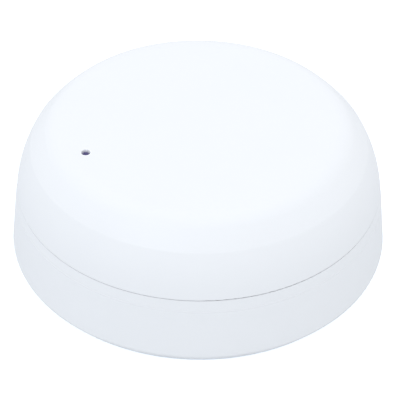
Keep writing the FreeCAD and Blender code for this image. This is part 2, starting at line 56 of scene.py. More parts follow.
# Camera. It looks down on the detector from the front and is rolled by less than a degree.
# It stands about ten radii away, so that the far rim is hardly smaller than the near one.
camera_distance = 430 * MM
camera_height_angle = math.radians(38.92)
camera_roll = math.radians(0.78)
camera_target = Vector((0.34, 0, 11.12)) * MM
turning_point = Vector((0, 0, 16)) * MM
frame_width_px = 400
focal_px = 1878.0
sensor_width = 36.0

camera_data = bpy.data.cameras.new("camera")
camera_data.sensor_width = sensor_width
camera_data.lens = focal_px / frame_width_px * sensor_width
camera_data.clip_start = 10 * MM
camera = bpy.data.objects.new("camera", camera_data)
bpy.context.collection.objects.link(camera)
outward = Vector((0, -math.cos(camera_height_angle), math.sin(camera_height_angle)))
camera_place = turning_point + camera_distance * outward
look = (camera_target - camera_place).to_track_quat("-Z", "Y").to_matrix()
tilted = look @ Matrix.Rotation(camera_roll, 3, "Z")
camera.matrix_world = Matrix.Translation(camera_place) @ tilted.to_4x4()
bpy.context.scene.camera = camera

# Studio. White surroundings like a light tent give nearly all the light. A wide soft lamp above,
# one in front on the left and two faint ones at the sides round the forms a little.
# The table is plain and white. It glows a little, and more to the camera, as an overexposed
# white table does in a studio, so that only a faint shadow is left on it.
tent_colour = (0.977, 0.995, 1.027, 1)
tent_strength = 1.139
lamp_colour = (0.80, 0.98, 1.22)
# The place, the width and the power of each lamp.
lamps = {"top_lamp": ((0.0, 0.0, 1.0), 1.6, 1.27),
         "front_lamp": ((-0.45, -0.85, 0.75), 0.7, 1.21),
         "left_lamp": ((-1.0, 0.0, 0.5), 0.7, 0.22),
         "right_lamp": ((1.0, 0.0, 0.5), 0.7, 0.19)}
table_radius = 3.0
table_colour = (0.54, 0.555, 0.57, 1)
table_roughness = 0.9
table_glow_colour = (0.94, 1.0, 1.06, 1)
table_glow = 0.18
table_camera_glow = 0.5

scene = bpy.context.scene
scene.view_settings.view_transform = "Standard"
scene.view_settings.look = "None"
scene.world = bpy.data.worlds.new("tent")
scene.world.use_nodes = True
background = scene.world.node_tree.nodes["Background"]
background.inputs["Color"].default_value = tent_colour
background.inputs["Strength"].default_value = tent_strength
for name, (place, width, power) in lamps.items():
    light = bpy.data.lights.new(name, "AREA")
    light.shape = "DISK"
    light.size = width
    light.energy = power
    light.color = lamp_colour
    lamp = bpy.data.objects.new(name, light)
    lamp.location = place
    lamp.rotation_euler = (turning_point - Vector(place)).to_track_quat("-Z", "Y").to_euler()
    bpy.context.collection.objects.link(lamp)


def wired(tree, kind, feeds, take=0, **settings):
    """Adds a node to a tree, sets it up, feeds it values or other outputs and gives one output."""
    made = tree.nodes.new(kind)
    for name, value in settings.items():
        setattr(made, name, value)
    for key, value in feeds.items():
        if isinstance(value, bpy.types.NodeSocket):
            tree.links.new(value, made.inputs[key])
        else:
            made.inputs[key].default_value = value
    return made.outputs[take]


def sums(tree, operation, *values):
    """One step of arithmetic on numbers or on other outputs."""
    return wired(tree, "ShaderNodeMath", dict(enumerate(values)), operation=operation)


def plain_material(name, roughness=0.5, metallic=0.0):
    """A new material, its node tree and its shader."""
    material = bpy.data.materials.new(name)
    material.use_nodes = True
    shader = material.node_tree.nodes["Principled BSDF"]
    shader.inputs["Roughness"].default_value = roughness
    shader.inputs["Metallic"].default_value = metallic
    return material, material.node_tree, shader


table_mesh = bpy.data.meshes.new("table")
draft = bmesh.new()
bmesh.ops.create_circle(draft, cap_ends=True, segments=64, radius=table_radius)
draft.to_mesh(table_mesh)
draft.free()
table = bpy.data.objects.new("table", table_mesh)
bpy.context.collection.objects.link(table)
table_paint, tree, shader = plain_material("table_white", table_roughness)
shader.inputs["Base Color"].default_value = table_colour
shader.inputs["Emission Color"].default_value = table_glow_colour
to_camera = wired(tree, "ShaderNodeLightPath", {}, "Is Camera Ray")
glow = sums(tree, "MULTIPLY_ADD", to_camera, table_camera_glow, table_glow)
tree.links.new(glow, shader.inputs["Emission Strength"])
table_mesh.materials.append(table_paint)

# Wall plate: a disc of white ABS, injection moulded, with two screw slots and three hooks.
# It is screwed to the wall and carries the detector. Its back keeps the marks of the mould's ejectors.
plate_colour = (0.80, 0.82, 0.84, 1)
plate_roughness = 0.50
plate_grain = 0.45 * MM
plate_grain_depth = 0.006 * MM
ejector_ring = 32.0 * MM
ejector_count = 6
ejector_radius = 1.6 * MM
ejector_depth = 0.06 * MM


def effect(name, inputs, outputs):
    """An empty shader group with named inputs and outputs: Colour is a colour, the rest are numbers."""
    tree = bpy.data.node_groups.new(name, "ShaderNodeTree")
    for in_out, labels in (("INPUT", inputs), ("OUTPUT", outputs)):
        for label in labels:
            kind = "NodeSocketColor" if label == "Colour" else "NodeSocketFloat"
            tree.interface.new_socket(label, in_out=in_out, socket_type=kind)
    return tree, tree.nodes.new("NodeGroupInput").outputs, tree.nodes.new("NodeGroupOutput").inputs


def own(tree, what="Object"):
    """A piece's own coordinates, or its Normal."""
    return wired(tree, "ShaderNodeTexCoord", {}, what)


def noise(tree, scale, detail, roughness, place=None):
    """Smooth noise on the piece's own coordinates, or on others."""
    return wired(tree, "ShaderNodeTexNoise", {"Vector": place or own(tree), "Scale": scale,
                                              "Detail": detail, "Roughness": roughness}, "Fac")


def parted(tree, place):
    """The X, Y and Z of a place or a direction."""
    return wired(tree, "ShaderNodeSeparateXYZ", {"Vector": place}).node.outputs


def vector(tree, x=0.0, y=0.0, z=0.0):
    """A vector out of numbers or outputs."""
    return wired(tree, "ShaderNodeCombineXYZ", {"X": x, "Y": y, "Z": z})


def scaled(tree, colour, factor):
    """A colour or a vector times a number."""
    return wired(tree, "ShaderNodeVectorMath", {0: colour, "Scale": factor}, operation="SCALE")


# The skin of a moulded piece: a fine spark-eroded grain, slight clouds in the colour and in the gloss.
moulded_skin, given, result = effect(
    "moulded_skin", ["Colour", "Roughness", "Grain Size", "Grain Depth", "Clouds"],
    ["Colour", "Roughness", "Height"])
tree = moulded_skin
grain = noise(tree, sums(tree, "DIVIDE", 1.0, given["Grain Size"]), detail=3.0, roughness=0.6)
cloud_shift = sums(tree, "SUBTRACT", noise(tree, 85.0, detail=4.0, roughness=0.55), 0.5)
grain_shift = sums(tree, "SUBTRACT", grain, 0.5)
shade = sums(tree, "MULTIPLY", cloud_shift, given["Clouds"])
shade = sums(tree, "MULTIPLY_ADD", grain_shift, sums(tree, "MULTIPLY", given["Clouds"], 0.5), shade)
gloss = sums(tree, "MULTIPLY_ADD", cloud_shift, 0.12, given["Roughness"])
tree.links.new(scaled(tree, given["Colour"], sums(tree, "ADD", 1.0, shade)), result["Colour"])
tree.links.new(sums(tree, "MULTIPLY_ADD", grain_shift, 0.10, gloss), result["Roughness"])
tree.links.new(sums(tree, "MULTIPLY", grain, given["Grain Depth"]), result["Height"])

# Round marks on a circle about Z, where the mould's ejectors pushed a piece out.
# They show only on faces that look down, so never on the front of the cover.
ejector_marks, given, result = effect("ejector_marks", ["Ring", "Count", "Radius", "Depth"], ["Height"])
tree = ejector_marks
x, y = parted(tree, own(tree))[:2]
half_sector = sums(tree, "MULTIPLY", sums(tree, "DIVIDE", 2 * math.pi, given["Count"]), 0.5)
folded = sums(tree, "PINGPONG", sums(tree, "ARCTAN2", y, x), half_sector)
reach = sums(tree, "SQRT", sums(tree, "MULTIPLY_ADD", x, x, sums(tree, "MULTIPLY", y, y)))
along = sums(tree, "MULTIPLY_ADD", reach, sums(tree, "COSINE", folded),
             sums(tree, "MULTIPLY", given["Ring"], -1.0))
across = sums(tree, "MULTIPLY", reach, sums(tree, "SINE", folded))
distance = sums(tree, "SQRT", sums(tree, "MULTIPLY_ADD", along, along,
                                   sums(tree, "MULTIPLY", across, across)))
inside = wired(tree, "ShaderNodeMapRange",
               {"Value": sums(tree, "DIVIDE", distance, given["Radius"]),
                "From Min": 0.96, "From Max": 1.04, "To Min": 1.0, "To Max": 0.0})
looks_down = sums(tree, "LESS_THAN", parted(tree, own(tree, "Normal"))["Z"], -0.9)
mask = sums(tree, "MULTIPLY", inside, looks_down)
depth = sums(tree, "MULTIPLY", given["Depth"], -1.0)
tree.links.new(sums(tree, "MULTIPLY", mask, depth), result["Height"])


def use_effect(tree, group, **values):
    """Places a shader group in a material's tree, with its own values."""
    placed = tree.nodes.new("ShaderNodeGroup")
    placed.node_tree = group
    for label, value in values.items():
        placed.inputs[label.replace("_", " ")].default_value = value
    return placed.outputs


def raised(tree, shader, height):
    """Feeds a height in metres to a shader as a bump."""
    bump = wired(tree, "ShaderNodeBump", {"Height": height, "Strength": 1.0, "Distance": 1.0})
    tree.links.new(bump, shader.inputs["Normal"])


def dressed(tree, shader, colour, roughness, height):
    """Feeds a colour, a roughness and a height in metres to a shader."""
    tree.links.new(colour, shader.inputs["Base Color"])
    tree.links.new(roughness, shader.inputs["Roughness"])
    raised(tree, shader, height)


def moulded_plastic(name, colour, roughness, grain, depth, clouds=0.02, ring=None):
    """Moulded plastic. A ring radius adds the ejectors' marks on its hidden side."""
    material, tree, shader = plain_material(name)
    skin = use_effect(tree, moulded_skin, Colour=colour, Roughness=roughness, Grain_Size=grain,
                      Grain_Depth=depth, Clouds=clouds)
    height = skin["Height"]
    if ring:
        marks = use_effect(tree, ejector_marks, Ring=ring, Count=ejector_count, Radius=ejector_radius,
                           Depth=ejector_depth)
        height = sums(tree, "ADD", height, marks["Height"])
    dressed(tree, shader, skin["Colour"], skin["Roughness"], height)
    return material


def finish_node(name, material):
    """Gives a node of the frame its material. The node keeps its shape."""
    nodes[name].data.materials.clear()
    nodes[name].data.materials.append(material)


plate_abs = moulded_plastic("plate_abs", plate_colour, plate_roughness, plate_grain, plate_grain_depth,
                            ring=ejector_ring)
finish_node("wall_plate", plate_abs)

# Rear housing: a white ABS shell on the wall plate, with three bosses and a tongue for the cover.
# It is injection moulded in the same satin plastic as the cover, so both share one material.
case_colour = (0.75, 0.75, 0.75, 1)
case_roughness = 0.42
case_grain = 0.35 * MM
case_grain_depth = 0.004 * MM
housing_ejector_ring = 24.0 * MM
# Painted shade: dark bands mixed into the colour at the seam and, fainter, at the crease.
seam_level = 17.4 * MM
seam_shade_width = 0.16 * MM
seam_shade_share = 0.22
crease_level = 14.5 * MM
crease_shade_width = 0.22 * MM
crease_shade_share = 0.09
painted_shade_colour = (0.33, 0.33, 0.35, 1)


def mixed(tree, share, under, over):
    """A colour with a share of another over it."""
    return wired(tree, "ShaderNodeMix", {0: share, 6: under, 7: over}, 2, data_type="RGBA")


case_abs = moulded_plastic("case_abs", case_colour, case_roughness, case_grain, case_grain_depth,
                           ring=housing_ejector_ring)
# Painted shade: the colour is darkened in a band on both lips of the seam, where the gap falls in
# shade, and faintly along the crease below, over its highlight.
tree = case_abs.node_tree
shader = tree.nodes["Principled BSDF"]
skin_colour = shader.inputs["Base Color"].links[0].from_socket
height = parted(tree, own(tree))["Z"]
for level, width, share in ((seam_level, seam_shade_width, seam_shade_share),
                            (crease_level, crease_shade_width, crease_shade_share)):
    away = sums(tree, "ABSOLUTE", sums(tree, "SUBTRACT", height, level))
    shade_amount = wired(tree, "ShaderNodeMapRange", {"Value": away, "From Min": width, "To Min": 0.0,
                                                "From Max": 0.4 * width, "To Max": share})
    skin_colour = mixed(tree, shade_amount, skin_colour, painted_shade_colour)
tree.links.new(skin_colour, shader.inputs["Base Color"])
finish_node("rear_housing", case_abs)

# Tamper plunger, its coil spring and its switch: the plunger passes through the floor to the wall.
# White acetal, spring steel wire and a black nylon switch body that hangs under the board.
acetal_colour = (0.74, 0.73, 0.69, 1)
nylon_colour = (0.022, 0.023, 0.026, 1)
steel_colour = (0.62, 0.61, 0.60, 1)
steel_roughness = 0.30
steel_streak = 0.5 * MM

# Drawn, rolled or plated metal: fine streaks along one way and a few cloudy finger marks.
metal_skin, given, result = effect(
    "metal_skin", ["Colour", "Roughness", "Streak Size", "Stretch", "Depth"],
    ["Colour", "Roughness", "Height"])
tree = metal_skin
drawn_out = vector(tree, given["Stretch"], 1.0, 1.0)
squeezed = wired(tree, "ShaderNodeVectorMath", {0: own(tree), 1: drawn_out}, operation="DIVIDE")
streaks = noise(tree, sums(tree, "DIVIDE", 1.0, given["Streak Size"]), detail=3.0, roughness=0.65,
                place=squeezed)
smudge_shift = sums(tree, "SUBTRACT", noise(tree, 260.0, detail=3.0, roughness=0.6), 0.5)
streak_shift = sums(tree, "SUBTRACT", streaks, 0.5)
brightness = sums(tree, "MULTIPLY_ADD", streak_shift, 0.18, 1.0)
brightness = sums(tree, "MULTIPLY_ADD", smudge_shift, 0.10, brightness)
gloss = sums(tree, "MULTIPLY_ADD", smudge_shift, 0.30, given["Roughness"])
tree.links.new(scaled(tree, given["Colour"], brightness), result["Colour"])
tree.links.new(sums(tree, "MULTIPLY_ADD", streak_shift, 0.12, gloss), result["Roughness"])
tree.links.new(sums(tree, "MULTIPLY", streaks, given["Depth"]), result["Height"])


def bare_metal(name, colour, roughness, streak, stretch=8.0, depth=0.002 * MM):
    """Bare metal with streaks of a size, so many times as long as they are wide."""
    material, tree, shader = plain_material(name, metallic=1.0)
    skin = use_effect(tree, metal_skin, Colour=colour, Roughness=roughness, Streak_Size=streak,
                      Stretch=stretch, Depth=depth)
    dressed(tree, shader, skin["Colour"], skin["Roughness"], skin["Height"])
    return material


def smoothed(mesh, sharp):
    """Makes a mesh smooth but for its edges that are sharper than an angle in degrees."""
    mesh.polygons.foreach_set("use_smooth", [True] * len(mesh.polygons))
    mesh.set_sharp_from_angle(angle=math.radians(sharp))
    return mesh


def finished(draft, sharp=35):
    """Turns a draft into a smoothed mesh with outward faces."""
    bmesh.ops.recalc_face_normals(draft, faces=draft.faces)
    mesh = bpy.data.meshes.new("draft")
    draft.to_mesh(mesh)
    draft.free()
    return smoothed(mesh, sharp)


def held(mesh, name="held"):
    """A mesh in an object of its own."""
    mesh.name = name
    thing = bpy.data.objects.new(name, mesh)
    bpy.context.collection.objects.link(thing)
    return thing


acetal = moulded_plastic("white_acetal", acetal_colour, roughness=0.38, grain=0.6 * MM,
                         depth=0.002 * MM)
black_nylon = moulded_plastic("black_nylon", nylon_colour, roughness=0.48, grain=0.25 * MM,
                              depth=0.006 * MM, clouds=0.25)
spring_steel = bare_metal("spring_steel", steel_colour, steel_roughness, steel_streak)
finish_node("tamper_plunger", acetal)
finish_node("tamper_spring", spring_steel)
finish_node("tamper_switch", black_nylon)

# The spring is a smoothed copy of the part's coil, in its place.
low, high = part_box("tamper_spring")
middle = (low + high) / 2
draft = bmesh.new()
draft.from_mesh(nodes["tamper_spring"].data)
bmesh.ops.remove_doubles(draft, verts=draft.verts, dist=0.001 * MM)
tamper_coil = held(finished(draft, 50), "tamper_coil")
tamper_coil.data.materials.append(spring_steel)
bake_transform(tamper_coil)
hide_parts("tamper_spring")

# Main board: glass-fibre laminate with green solder mask over copper tracks, and bare cut edges.
# It stands on the housing's three bosses and carries all the electronics.
mask_colour = (0.006, 0.085, 0.040, 1)
track_colour = (0.012, 0.170, 0.075, 1)
laminate_colour = (0.42, 0.38, 0.20, 1)
fibre_colour = (0.55, 0.52, 0.33, 1)
via_colour = (0.55, 0.50, 0.38, 1)
# Painted shade: the via holes are coloured nearly black for the shade inside them.
via_hole_shade_colour = (0.01, 0.02, 0.01, 1)
track_pitch = 1.1 * MM
track_length = 9.0 * MM
track_share = 0.2
track_rise = 0.03 * MM
cross_track_from = 0.45
slant_track_from = 0.8
copper_area_share = 0.16
via_pitch = 5.5 * MM
via_radius = 0.42 * MM
via_hole = 0.18 * MM
via_hole_depth = 0.2 * MM

board_paint, tree, shader = plain_material("solder_mask")
place = own(tree)
tracks = []
for angle, shift in ((0.0, 0.0), (math.pi / 2, 3.3 * MM), (math.pi / 4, 1.7 * MM)):
    turned_place = wired(tree, "ShaderNodeMapping", {"Vector": place, "Rotation": (0, 0, angle),
                                                     "Location": (shift, shift, 0)})
    tracks.append(wired(tree, "ShaderNodeTexBrick",
                        {"Vector": turned_place, "Scale": 1.0, "Mortar Smooth": 0.1,
                         "Mortar Size": track_pitch * track_share / 2,
                         "Brick Width": track_length, "Row Height": track_pitch}, "Fac",
                        offset=0.37, squash=1.0))
zones = wired(tree, "ShaderNodeTexVoronoi", {"Vector": place, "Scale": 95.0}, "Color", feature="F1")
zone = wired(tree, "ShaderNodeSeparateColor", {"Color": zones})
track_mask = tracks[0]
for share, other in ((cross_track_from, tracks[1]), (slant_track_from, tracks[2])):
    track_mask = wired(tree, "ShaderNodeMix", {0: sums(tree, "GREATER_THAN", zone, share),
                                               2: track_mask, 3: other}, data_type="FLOAT")
track_mask = sums(tree, "MAXIMUM", track_mask, sums(tree, "LESS_THAN", zone, copper_area_share))
vias = wired(tree, "ShaderNodeTexVoronoi",
             {"Vector": place, "Scale": 1.0 / via_pitch, "Randomness": 0.8}, "Distance",
             feature="F1", voronoi_dimensions="2D")
via_distance = sums(tree, "MULTIPLY", vias, via_pitch)
via_mask = sums(tree, "LESS_THAN", via_distance, via_radius)
hole_mask = sums(tree, "LESS_THAN", via_distance, via_hole)
upright = sums(tree, "ABSOLUTE", parted(tree, own(tree, "Normal"))["Z"])
edge_mask = sums(tree, "LESS_THAN", upright, 0.5)
plies = noise(tree, 3000.0, detail=2.0, roughness=0.5)
laminate = mixed(tree, plies, laminate_colour, fibre_colour)
surface = mixed(tree, track_mask, mask_colour, track_colour)
surface = mixed(tree, via_mask, surface, via_colour)
# Painted shade in the via holes.
surface = mixed(tree, hole_mask, surface, via_hole_shade_colour)
relief = sums(tree, "MULTIPLY", sums(tree, "MAXIMUM", track_mask, via_mask), track_rise)
dressed(tree, shader, mixed(tree, edge_mask, surface, laminate),
        sums(tree, "MULTIPLY_ADD", edge_mask, 0.5, 0.28),
        sums(tree, "MULTIPLY_ADD", hole_mask, -via_hole_depth, relief))
finish_node("main_board", board_paint)
board_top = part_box("main_board")[1].z

# Board screws: three pan-head screws of zinc-plated steel with a cross recess, one in each boss.
# They clamp the board to the housing. One screw is turned and cut, and set three times on a circle.
screw_head_radius = 1.95 * MM
screw_head_height = 1.35 * MM
screw_shank_radius = 0.98 * MM
screw_shank_length = 5.4 * MM
screw_point = 0.4 * MM
screw_count = 3
first_screw_angle = math.radians(30)
solid_head_radius = 2.0 * MM
recess_width = 0.55 * MM
recess_length = 2.2 * MM
recess_depth = 0.75 * MM
zinc_colour = (0.66, 0.67, 0.70, 1)
# How far a cutting shape stands out of what it cuts.
overshoot = 1 * MM


def turned(profile, segments=48, sharp=35, closed=False):
    """A mesh turned about Z from (radius, height) points, from the foot to the top.

    A closed profile goes all round its own outline, as for a ring.
    """
    draft = bmesh.new()
    rings = []
    for radius, height in profile:
        ring = []
        for i in range(segments if radius > 0 else 1):
            angle = 2 * math.pi * i / segments
            ring.append(draft.verts.new((radius * math.cos(angle), radius * math.sin(angle), height)))
        rings.append(ring)
    if closed:
        rings.append(rings[0])
    for end, step in ((rings[0], -1), (rings[-1], 1)):
        if len(end) > 1 and not closed:
            draft.faces.new(end[::step])
    for low, high in zip(rings, rings[1:]):
        for i in range(segments):
            j = (i + 1) % segments
            corners = [low[i % len(low)], low[j % len(low)], high[j % len(high)], high[i % len(high)]]
            draft.faces.new(list(dict.fromkeys(corners)))
    return finished(draft, sharp)


def bar(length, width, low, high, bevel=0.0, centre=(0, 0), steps=2):
    """A block centred on a place in X and Y, between two heights, with rounded edges."""
    draft = bmesh.new()
    size = Matrix.Diagonal((length, width, high - low, 1))
    place = Matrix.Translation((centre[0], centre[1], (low + high) / 2))
    bmesh.ops.create_cube(draft, size=1, matrix=place @ size)
    if bevel:
        bmesh.ops.bevel(draft, geom=draft.edges[:], offset=bevel, segments=steps, profile=0.5,
                        affect="EDGES")
    return finished(draft, 50)


def joined(*meshes):
    """One mesh out of several."""
    draft = bmesh.new()
    for mesh in meshes:
        draft.from_mesh(mesh)
    mesh = bpy.data.meshes.new("draft")
    draft.to_mesh(mesh)
    draft.free()
    return smoothed(mesh, 40)


def moved(mesh, x=0.0, y=0.0, z=0.0, turn=0.0, tip=0.0):
    """A copy of a mesh, tipped about Y, turned about Z and moved."""
    copy = mesh.copy()
    place = Matrix.Translation((x, y, z)) @ Matrix.Rotation(turn, 4, "Z")
    copy.transform(place @ Matrix.Rotation(tip, 4, "Y"))
    return copy


def plain(thing):
    """The mesh that an object's modifiers make. The object goes away."""
    bpy.context.view_layer.update()
    depsgraph = bpy.context.evaluated_depsgraph_get()
    mesh = bpy.data.meshes.new_from_object(thing.evaluated_get(depsgraph), depsgraph=depsgraph)
    bpy.data.objects.remove(thing)
    return mesh


def cut_out(mesh, tool, sharp=35):
    """A mesh with the tool's shape cut out of it."""
    work = held(mesh)
    blade = held(tool)
    cut = work.modifiers.new("cut", "BOOLEAN")
    cut.operation = "DIFFERENCE"
    cut.solver = "EXACT"
    cut.object = blade
    result_mesh = plain(work)
    bpy.data.objects.remove(blade)
    return smoothed(result_mesh, sharp)


def grower(name, **inputs):
    """An empty geometry tree with named inputs of some kinds, its input sockets and its end."""
    tree = bpy.data.node_groups.new(name, "GeometryNodeTree")
    tree.interface.new_socket("Geometry", in_out="OUTPUT", socket_type="NodeSocketGeometry")
    for label, kind in inputs.items():
        tree.interface.new_socket(label.replace("_", " "), in_out="INPUT",
                                  socket_type="NodeSocket" + kind)
    return tree, tree.nodes.new("NodeGroupInput").outputs, tree.nodes.new("NodeGroupOutput").inputs[0]


def shape_of(tree, thing):
    """The geometry of an object."""
    return wired(tree, "GeometryNodeObjectInfo", {"Object": thing}, "Geometry")


def set_on(tree, points, piece, rotation=(0, 0, 0)):
    """A piece set on each point."""
    return wired(tree, "GeometryNodeInstanceOnPoints",
                 {"Points": points, "Instance": piece, "Rotation": rotation})


def real(tree, instances):
    """Instances made real."""
    return wired(tree, "GeometryNodeRealizeInstances", {0: instances})


def ended(tree, grown_part, material_socket, end):
    """Ends a tree: its instances made real, with their material."""
    painted = wired(tree, "GeometryNodeSetMaterial",
                    {"Geometry": real(tree, grown_part), "Material": material_socket})
    tree.links.new(painted, end)


def grown(tree, **values):
    """Runs a geometry tree once with its named values and returns the plain mesh."""
    carrier = held(bpy.data.meshes.new("carrier"))
    growing = carrier.modifiers.new("grow", "NODES")
    growing.node_group = tree
    sockets = {item.name: item.identifier for item in tree.interface.items_tree}
    for label, value in values.items():
        growing[sockets[label.replace("_", " ")]] = value
    mesh = plain(carrier)
    for value in values.values():
        if isinstance(value, bpy.types.Object):
            bpy.data.objects.remove(value)
    return mesh


def fitted(name, mesh, slot, material, *stands_for, body="detector"):
    """Puts a finished mesh in the scene as a piece that rides on a body."""
    mesh.materials.clear()
    mesh.materials.append(material)
    mesh.polygons.foreach_set("material_index", [0] * len(mesh.polygons))
    piece = held(mesh, name)
    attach(piece, body)
    if stands_for:
        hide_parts(*stands_for)


# Sets one piece several times on a circle about Z.
tree, given, end = grower("on_a_circle", Piece="Object", Count="Int", Radius="Float",
                          First_Angle="Float", Height="Float", Material="Material")
on_a_circle = tree
places = wired(tree, "GeometryNodeMeshLine", {"Count": given["Count"], "Offset": (0, 0, 0)})
number = wired(tree, "GeometryNodeInputIndex", {})
angle = sums(tree, "MULTIPLY_ADD", number, sums(tree, "DIVIDE", 2 * math.pi, given["Count"]),
             given["First Angle"])
x = sums(tree, "MULTIPLY", sums(tree, "COSINE", angle), given["Radius"])
y = sums(tree, "MULTIPLY", sums(tree, "SINE", angle), given["Radius"])
placed = wired(tree, "GeometryNodeSetPosition",
               {"Geometry": places, "Position": vector(tree, x, y, given["Height"])})
ringed = set_on(tree, placed, shape_of(tree, given["Piece"]), vector(tree, z=angle))
ended(tree, ringed, given["Material"], end)

low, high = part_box("board_screws")
boss_circle = Vector((low.x + solid_head_radius, high.y - solid_head_radius)).length
zinc = bare_metal("zinc_plate", zinc_colour, roughness=0.32, streak=0.4 * MM)
screw = turned([(0, -screw_shank_length), (screw_shank_radius * 0.7, -screw_shank_length),
                (screw_shank_radius, -screw_shank_length + screw_point), (screw_shank_radius, 0),
                (screw_head_radius - 0.06 * MM, 0), (screw_head_radius, 0.08 * MM),
                (screw_head_radius, 0.45 * screw_head_height),
                (screw_head_radius * 0.9, 0.8 * screw_head_height),
                (screw_head_radius * 0.62, 0.97 * screw_head_height), (0, screw_head_height)])
for length, width in ((recess_length, recess_width), (recess_width, recess_length)):
    screw = cut_out(screw, bar(length, width, screw_head_height - recess_depth,
                               screw_head_height + overshoot))
screws = grown(on_a_circle, Piece=held(screw), Count=screw_count, Radius=boss_circle,
               First_Angle=first_screw_angle, Height=board_top, Material=zinc)
fitted("pan_head_screws", screws, "steel", zinc, "board_screws")

# Radio: a transceiver chip under a tinned steel shield can, and a wire aerial along the board's edge.
# The can is drawn from thin sheet, has rows of vent holes and is soldered to the board round its foot.
shield_bevel = 0.5 * MM
shield_wall = 0.25 * MM
shield_gap = 0.02 * MM
vent_radius = 0.45 * MM
vent_columns = 7
vent_rows = 5
vent_pitch = 1.6 * MM
tin_colour = (0.70, 0.70, 0.68, 1)
chip_colour = (0.018, 0.018, 0.020, 1)
nickel_colour = (0.68, 0.64, 0.57, 1)


def middle_of(node):
    """The middle of a node's box, and its size."""
    low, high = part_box(node)
    return (low + high) / 2, high - low


# Rows of round holes cut down through a sheet, in a rectangle of columns and rows.
tree, given, end = grower("perforated", Sheet="Object", Columns="Int", Rows="Int", Pitch="Float",
                          Hole_Radius="Float", Middle="Vector", Depth="Float", Material="Material")
perforated = tree
wide = sums(tree, "MULTIPLY", sums(tree, "SUBTRACT", given["Columns"], 1.0), given["Pitch"])
deep = sums(tree, "MULTIPLY", sums(tree, "SUBTRACT", given["Rows"], 1.0), given["Pitch"])
spots = wired(tree, "GeometryNodeMeshGrid", {"Size X": wide, "Size Y": deep,
                                             "Vertices X": given["Columns"],
                                             "Vertices Y": given["Rows"]})
drill = wired(tree, "GeometryNodeMeshCylinder",
              {"Vertices": 20, "Radius": given["Hole Radius"], "Depth": given["Depth"]})
drills = wired(tree, "GeometryNodeTransform",
               {"Geometry": real(tree, set_on(tree, spots, drill)), "Translation": given["Middle"]})
holed = wired(tree, "GeometryNodeMeshBoolean", {0: shape_of(tree, given["Sheet"]), 1: drills},
              operation="DIFFERENCE", solver="EXACT")
ended(tree, holed, given["Material"], end)

bright_tin = bare_metal("bright_tin", tin_colour, roughness=0.34, streak=0.35 * MM, stretch=3.0)
nickel = bare_metal("nickel_plate", nickel_colour, roughness=0.24, streak=0.5 * MM)
chip_epoxy = moulded_plastic("chip_epoxy", chip_colour, roughness=0.55, grain=0.12 * MM,
                             depth=0.004 * MM, clouds=0.3)
middle, size = middle_of("radio_shield")
shield_top = board_top + size.z
below = board_top - overshoot
can = bar(size.x, size.y, board_top, shield_top, shield_bevel, middle, steps=3)
can = cut_out(can, bar(size.x + overshoot, size.y + overshoot, below, board_top + shield_gap,
                       centre=middle))
can = cut_out(can, bar(size.x - 2 * shield_wall, size.y - 2 * shield_wall, below,
                       shield_top - shield_wall, shield_bevel * 0.6, middle))
can = grown(perforated, Sheet=held(can), Columns=vent_columns, Rows=vent_rows, Pitch=vent_pitch,
            Hole_Radius=vent_radius, Middle=(middle.x, middle.y, shield_top), Depth=4 * shield_wall,
            Material=bright_tin)
fitted("shield_can", smoothed(can, 35), "tin", bright_tin, "radio_shield")
finish_node("radio_chip", chip_epoxy)
finish_node("aerial_wire", nickel)

# Control chip and microphone amplifier: black epoxy bodies with a sloped rim and a dimple at pin 1.
# Their tinned gull-wing leads are stamped, bent and reflow soldered to the board.
chip_chamfer = 0.18 * MM
chip_gap = 0.06 * MM
dimple_radius = 0.45 * MM
dimple_depth = 0.08 * MM
dimple_inset = 2.2 * dimple_radius
lead_width = 0.34 * MM
lead_sheet = 0.14 * MM
lead_pitch = 0.8 * MM
amp_lead_pitch = 1.1 * MM
lead_root = 0.2 * MM
lead_foot = 0.08 * MM
lead_reach = 0.95 * MM
pad_length = 0.75 * MM
pad_width = 0.46 * MM
pad_height = 0.06 * MM


def bent_strip(points, sheet, width):
    """A strip of sheet bent along (x, z) points and as wide as given along Y."""
    draft = bmesh.new()
    rows = []
    for i, (x, z) in enumerate(points):
        before = Vector(points[max(i - 1, 0)])
        after = Vector(points[min(i + 1, len(points) - 1)])
        along = (after - before).normalized()
        off = Vector((-along.y, along.x)) * sheet / 2
        rows.append([draft.verts.new((x + side * off.x, y * width / 2, z + side * off.y))
                     for side, y in ((1, -1), (1, 1), (-1, 1), (-1, -1))])
    for a, b in zip(rows, rows[1:]):
        for k in range(4):
            draft.faces.new((a[k], a[(k + 1) % 4], b[(k + 1) % 4], b[k]))
    draft.faces.new(rows[0])
    draft.faces.new(rows[-1][::-1])
    return finished(draft, 40)


# Sets one piece in rows of a fixed pitch, on one, two or four sides of a place.
tree, given, end = grower("in_rows", Piece="Object", Per_Row="Int", Pitch="Vector", Sides="Int",
                          Middle="Vector", Material="Material")
in_rows = tree
back_half = sums(tree, "MULTIPLY", sums(tree, "SUBTRACT", given["Per Row"], 1.0), -0.5)
row = wired(tree, "GeometryNodeMeshLine",
            {"Count": given["Per Row"], "Offset": given["Pitch"],
             "Start Location": scaled(tree, given["Pitch"], back_half)})
one_row = set_on(tree, row, shape_of(tree, given["Piece"]))
sides = wired(tree, "GeometryNodeMeshLine", {"Count": given["Sides"], "Offset": (0, 0, 0)})
turn = sums(tree, "MULTIPLY", wired(tree, "GeometryNodeInputIndex", {}),
            sums(tree, "DIVIDE", 2 * math.pi, given["Sides"]))
all_rows = real(tree, set_on(tree, sides, one_row, vector(tree, z=turn)))
set_down = wired(tree, "GeometryNodeTransform", {"Geometry": all_rows, "Translation": given["Middle"]})
ended(tree, set_down, given["Material"], end)


def rows_of(piece, per_row, pitch, node, material, sides=1, level=board_top):
    """Rows of one piece about the middle of a node, as a plain mesh."""
    middle = middle_of(node)[0]
    return grown(in_rows, Piece=held(piece), Per_Row=per_row, Pitch=pitch, Sides=sides,
                 Middle=(middle.x, middle.y, level), Material=material)


